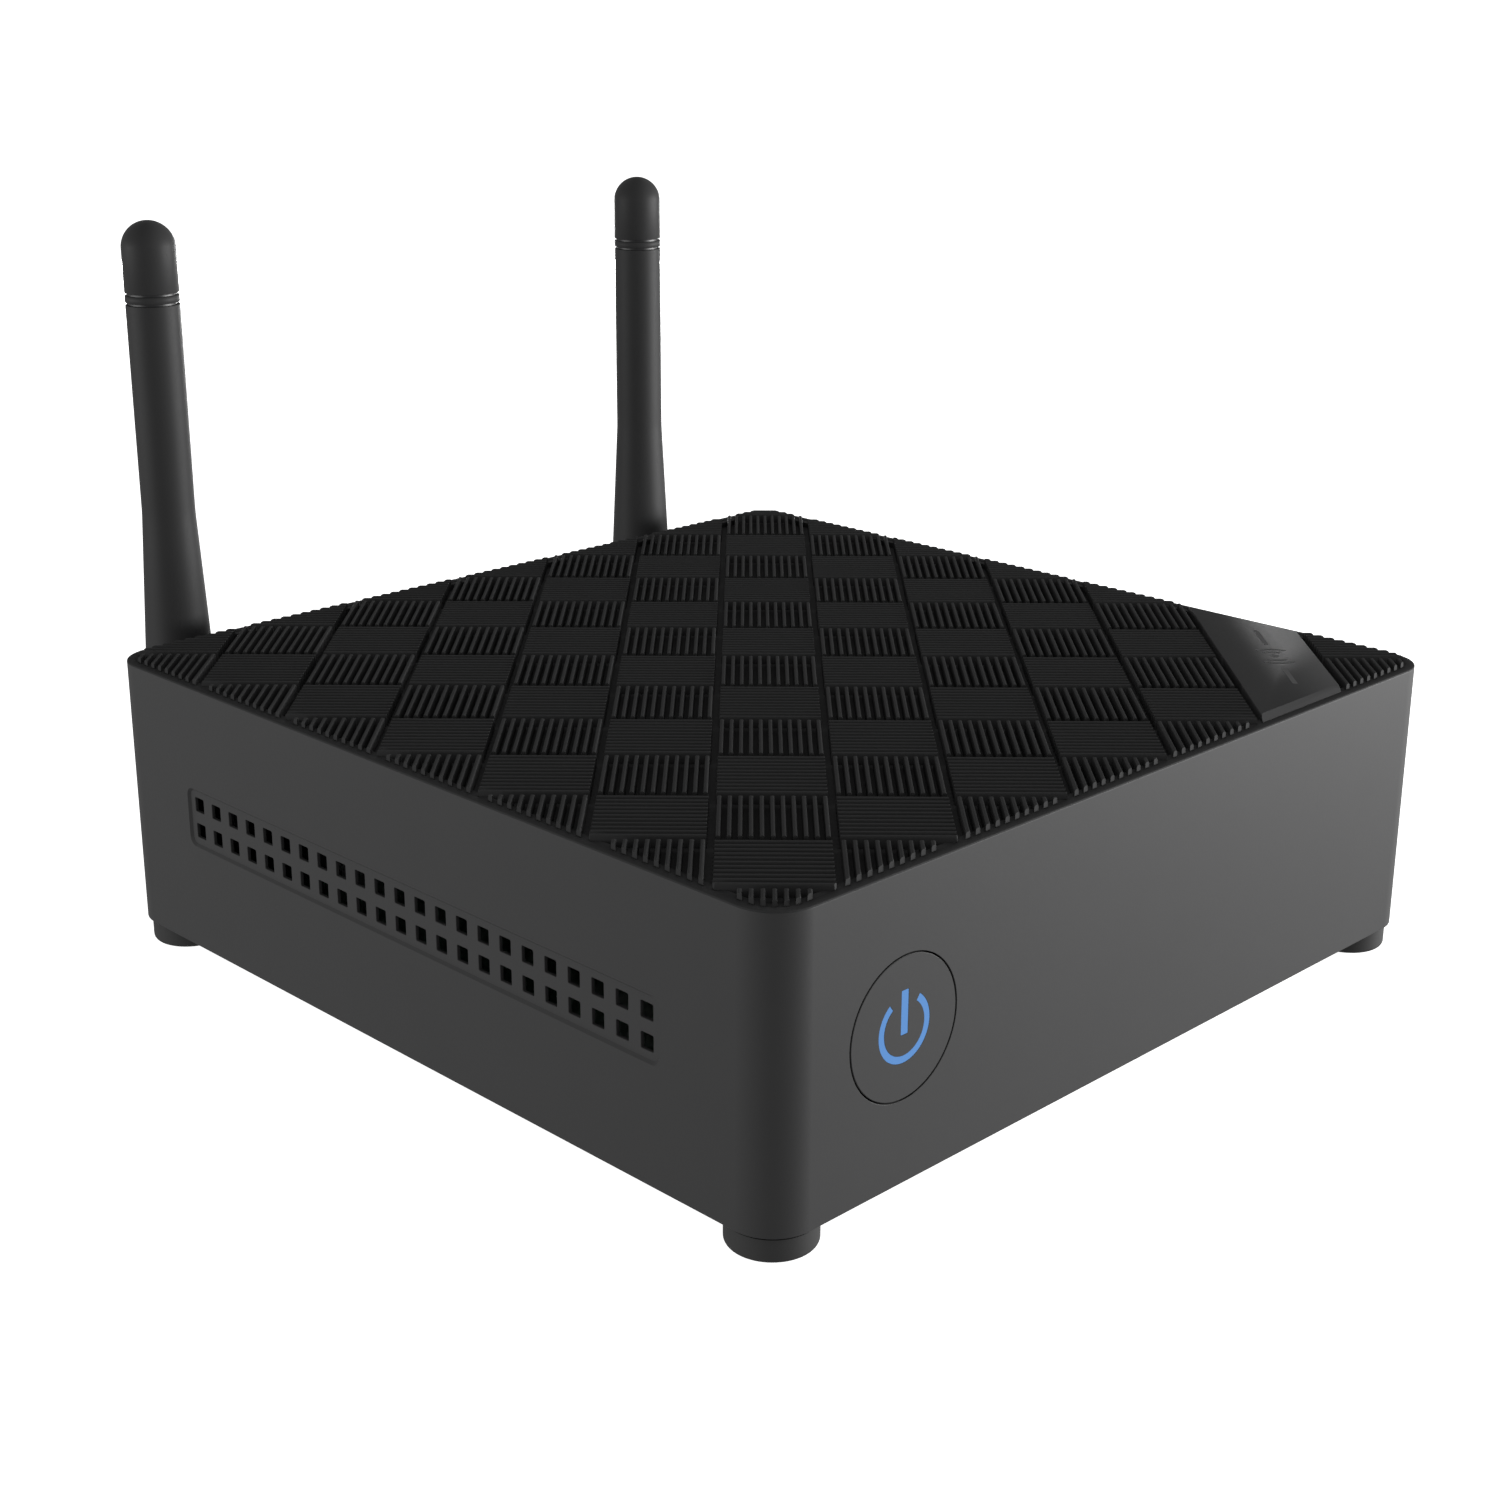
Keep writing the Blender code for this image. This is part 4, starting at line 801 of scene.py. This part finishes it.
def make_antenna(side):
    """One antenna: the forked sleeve, the band between two grooves, the dome and the dark neck."""
    tip = middle_of(f"antenna_tip_{side}")
    hinge = Vector((tip.x, tip.y, middle_of(f"antenna_pin_{side}").z))
    knuckle = ANTENNA_RADIUS + ANTENNA_TAPER * (ANTENNA_KINK - hinge.z)
    arm = f"antenna_{side}_arm"
    upright = Matrix.Translation((tip.x, tip.y, 0))

    top = GROOVES[0] - GROOVE_HALF
    profile = [(0, hinge.z - knuckle)]
    profile += [(r, hinge.z + z) for r, z in arc(knuckle, -88, 0, 20)]
    profile += [(ANTENNA_RADIUS + wider, ANTENNA_KINK + rise) for wider, rise in KINK_CURVE]
    profile += [(ANTENNA_RADIUS, top - GROOVE_EDGE),
                (ANTENNA_RADIUS - GROOVE_EDGE * 0.4, top - GROOVE_EDGE * 0.3),
                (ANTENNA_RADIUS - GROOVE_EDGE, top), (0, top)]
    sleeve = lathe(profile, sides=96, place=upright)
    outline = rounded_rectangle(*FORK_SLOT, FORK_ROUND, 6)
    corner = hinge + Vector((0, -FORK_FRONT, FORK_TOP - FORK_SLOT[1]))
    slot = loft_outline(bmesh.new(), [(0, outline), (FORK_DEEP, outline)],
                        Matrix.Translation(corner) @ INWARD)
    sleeve = boolean(sleeve, slot)
    radius, half = ARM_BORE
    sleeve = boolean(sleeve, rod(radius, half, sides=32, place=pointing((1, 0, 0), hinge)))
    piece(f"antenna_arm_{side}", sleeve, arm, ANTENNA_BLACK, [f"antenna_sleeve_{side}"],
          sharp=30.0, weighted=True)

    low = GROOVES[0] + GROOVE_HALF
    high = GROOVES[1] - GROOVE_HALF
    within = ANTENNA_RADIUS - BAND_DEPTH
    edge = ANTENNA_RADIUS - BAND_EDGE
    ring = [(within, low), (edge, low), (ANTENNA_RADIUS, low + BAND_EDGE),
            (ANTENNA_RADIUS, high - BAND_EDGE), (edge, high), (within, high)]
    piece(f"antenna_band_{side}", lathe(ring, sides=96, place=upright), arm, ANTENNA_BLACK,
          [f"antenna_ring_{side}"], sharp=50.0)

    base = GROOVES[1] + GROOVE_HALF
    profile = [(0, base), (ANTENNA_RADIUS - GROOVE_EDGE, base),
               (ANTENNA_RADIUS - GROOVE_EDGE * 0.4, base + GROOVE_EDGE * 0.3),
               (ANTENNA_RADIUS, base + GROOVE_EDGE)]
    profile += arc(ANTENNA_RADIUS, 0, 88, 24, (0.0, ANTENNA_TOP - ANTENNA_RADIUS))
    profile.append((0, ANTENNA_TOP))
    piece(f"antenna_dome_{side}", lathe(profile, sides=96, place=upright), arm, ANTENNA_BLACK,
          [f"antenna_tip_{side}"], sharp=30.0)

    within = ANTENNA_RADIUS - NECK_INSET
    low = GROOVES[0] - NECK_REACH
    high = GROOVES[1] + NECK_REACH
    neck = lathe([(0, low), (within, low), (within, high), (0, high)], sides=64, place=upright)
    piece(f"antenna_neck_{side}", neck, arm, SOCKET, ())
    make_swivel(side, hinge, knuckle)


def make_swivel(side, hinge, knuckle):
    """The base in the rear wall: flange, cone and the round tongue between the fork's ears."""
    body = f"antenna_{side}_swivel"
    outward = pointing((0, 1, 0), (hinge.x, REAR, hinge.z))
    sideways = pointing((1, 0, 0), hinge)
    radius, end = SHANK
    profile = [(0, end), (radius, end), (radius, FLANGE_GAP), (FLANGE_RADIUS - FLANGE_EDGE, FLANGE_GAP)]
    for r, z in arc(FLANGE_EDGE, -90, 0, 4):
        profile.append((FLANGE_RADIUS - FLANGE_EDGE + r, FLANGE_GAP + FLANGE_EDGE + z))
    base = lathe(profile + CONE, sides=80, place=outward)
    tongue = rod(knuckle - TONGUE_SET_IN, TONGUE_HALF, sides=72, place=sideways, edge=TONGUE_EDGE)
    base = boolean(base, tongue, "UNION")
    half = TONGUE_HALF - STEM_INSET
    stem = soft_box((hinge.x - half, hinge.y - STEM_REACH, hinge.z - STEM_HALF),
                    (hinge.x + half, hinge.y, hinge.z + STEM_HALF), STEM_EDGE)
    base = boolean(base, stem, "UNION")
    radius, half = BASE_BORE
    base = boolean(base, rod(radius, half, sides=32, place=sideways))
    piece(f"antenna_swivel_{side}", base, body, ANTENNA_BLACK, [f"antenna_base_{side}"],
          sharp=30.0, weighted=True)
    pin = rod(PIN_RADIUS, knuckle - PIN_SET_IN, sides=40, place=sideways, edge=PIN_EDGE)
    piece(f"antenna_pivot_{side}", pin, body, STEEL, [f"antenna_pin_{side}"], sharp=30.0)


# ---------------------------------------------------------------- carried-over nodes
CARRIED = {
    "graphite_paint": GRAPHITE, "black_plastic": LID_BLACK, "smooth_black": BADGE_BLACK,
    "antenna_plastic": ANTENNA_BLACK, "black_rubber": RUBBER, "light_guide": ICON_BLUE,
    "circuit_board": BOARD, "chip_package": CHIP, "steel": STEEL, "aluminium": ALUMINIUM, "brass": BRASS,
    "socket_plastic": SOCKET, "thermal_rubber": THERMAL, "cable_jacket": JACKET, "led_white": LED,
}


def dress_nodes():
    """The inner pieces keep their CAD shapes and take the finish of their slot."""
    for entry in frame["record"]["subparts"]:
        mesh = NODES[entry["node"]].data
        mesh.materials.clear()
        mesh.materials.append(CARRIED[entry["material_slot"]])


# ---------------------------------------------------------------- stage, light and camera
AZIMUTH = math.radians(-44.245)           # the camera's direction, from the front of the box
ELEVATION = math.radians(18.553)
CAMERA_AT = (mm(-216.41), MID_Y + mm(-212.29), FLOOR + mm(129.40))
SENSOR = 36.0                             # its width and the focal length, in millimetres
LENS = 55.8204
SHIFT = (0.02152, -0.0145067)             # of the view, as shares of its width
STAGE_HALF = 40.0
STAGE_DROP = mm(0.05)                     # keeps the floor clear of the feet
FLOOR_GLOW = 1.0                          # lifts the floor to a clean white
WORLD_LIGHT = 0.34                        # what lights the object from all round
WORLD_SEEN = 1.0                          # what is seen behind it
SOFTBOXES = (                             # name, size, power, turn, reach, height, aim height
    ("softbox_left", (0.7, 0.13), 2.4, 200.0, 0.75, 0.07, 0.04),
    ("softbox_right", (0.5, 0.13), 6.0, 4.0, 0.60, 0.07, 0.04),
    ("softbox_rear", (0.6, 0.03), 2.5, 90.0, 0.75, 0.02, 0.02),
)


def add_softbox(name, size, power, turn, reach, height, aim):
    """A low softbox, turned in degrees from the camera's rightward direction as seen from above."""
    lamp = bpy.data.lights.new(name, "AREA")
    lamp.shape = "RECTANGLE"
    lamp.size, lamp.size_y = size
    lamp.energy = power
    angle = AZIMUTH + math.radians(turn)
    at = Vector((math.cos(angle) * reach, math.sin(angle) * reach, height))
    made = bpy.data.objects.new(name, lamp)
    made.location = at
    made.rotation_euler = (Vector((0, 0, aim)) - at).to_track_quat("-Z", "Y").to_euler()
    bpy.context.scene.collection.objects.link(made)


def make_stage():
    """A plain white floor that the object stands on as if in open white space, and the lights."""
    bm = bmesh.new()
    bmesh.ops.create_grid(bm, x_segments=2, y_segments=2, size=STAGE_HALF)
    mesh = bpy.data.meshes.new("stage_floor")
    bm.to_mesh(mesh)
    bm.free()
    floor = bpy.data.objects.new("stage_floor", mesh)
    floor.location = (0, 0, -STAGE_DROP)
    white = finish("pale_floor", (0.95, 0.95, 0.95), 0.7, grain=40.0, bump=0.0, mottle=0.01, gloss=0.2,
                   emission=((1.0, 1.0, 1.0), FLOOR_GLOW))
    mesh.materials.append(white)
    bpy.context.scene.collection.objects.link(floor)
    floor.visible_diffuse = False         # it throws no light back onto the object
    floor.visible_glossy = False
    bpy.context.scene.world = make_world()
    for softbox in SOFTBOXES:
        add_softbox(*softbox)


def make_world():
    """An even white room, dimmer for the object than for the eye."""
    world = bpy.data.worlds.new("studio")
    world.use_nodes = True
    nodes = world.node_tree.nodes
    shader = nodes["Background"]
    shader.inputs["Color"].default_value = (1.0, 1.0, 1.0, 1.0)
    path = nodes.new("ShaderNodeLightPath")
    level = nodes.new("ShaderNodeMapRange")
    level.inputs["To Min"].default_value = WORLD_LIGHT
    level.inputs["To Max"].default_value = WORLD_SEEN
    world.node_tree.links.new(path.outputs["Is Camera Ray"], level.inputs["Value"])
    world.node_tree.links.new(level.outputs["Result"], shader.inputs["Strength"])
    return world


def make_camera():
    """The camera at the front left corner, looking slightly down."""
    lens = bpy.data.cameras.new("camera")
    lens.sensor_width = SENSOR
    lens.lens = LENS
    lens.shift_x, lens.shift_y = SHIFT
    lens.clip_start = 0.01
    camera = bpy.data.objects.new("camera", lens)
    flat = math.cos(ELEVATION)
    back = Vector((math.sin(AZIMUTH) * flat, -math.cos(AZIMUTH) * flat, math.sin(ELEVATION)))
    camera.rotation_euler = back.to_track_quat("Z", "Y").to_euler()
    camera.location = CAMERA_AT
    bpy.context.scene.collection.objects.link(camera)
    bpy.context.scene.camera = camera


make_camera()
make_stage()
dress_nodes()
make_housing()
make_lid()
make_mark()
make_jacks()
make_button()
make_feet()
for antenna_side in ("left", "right"):
    make_antenna(antenna_side)
bpy.context.scene.view_settings.view_transform = "Standard"
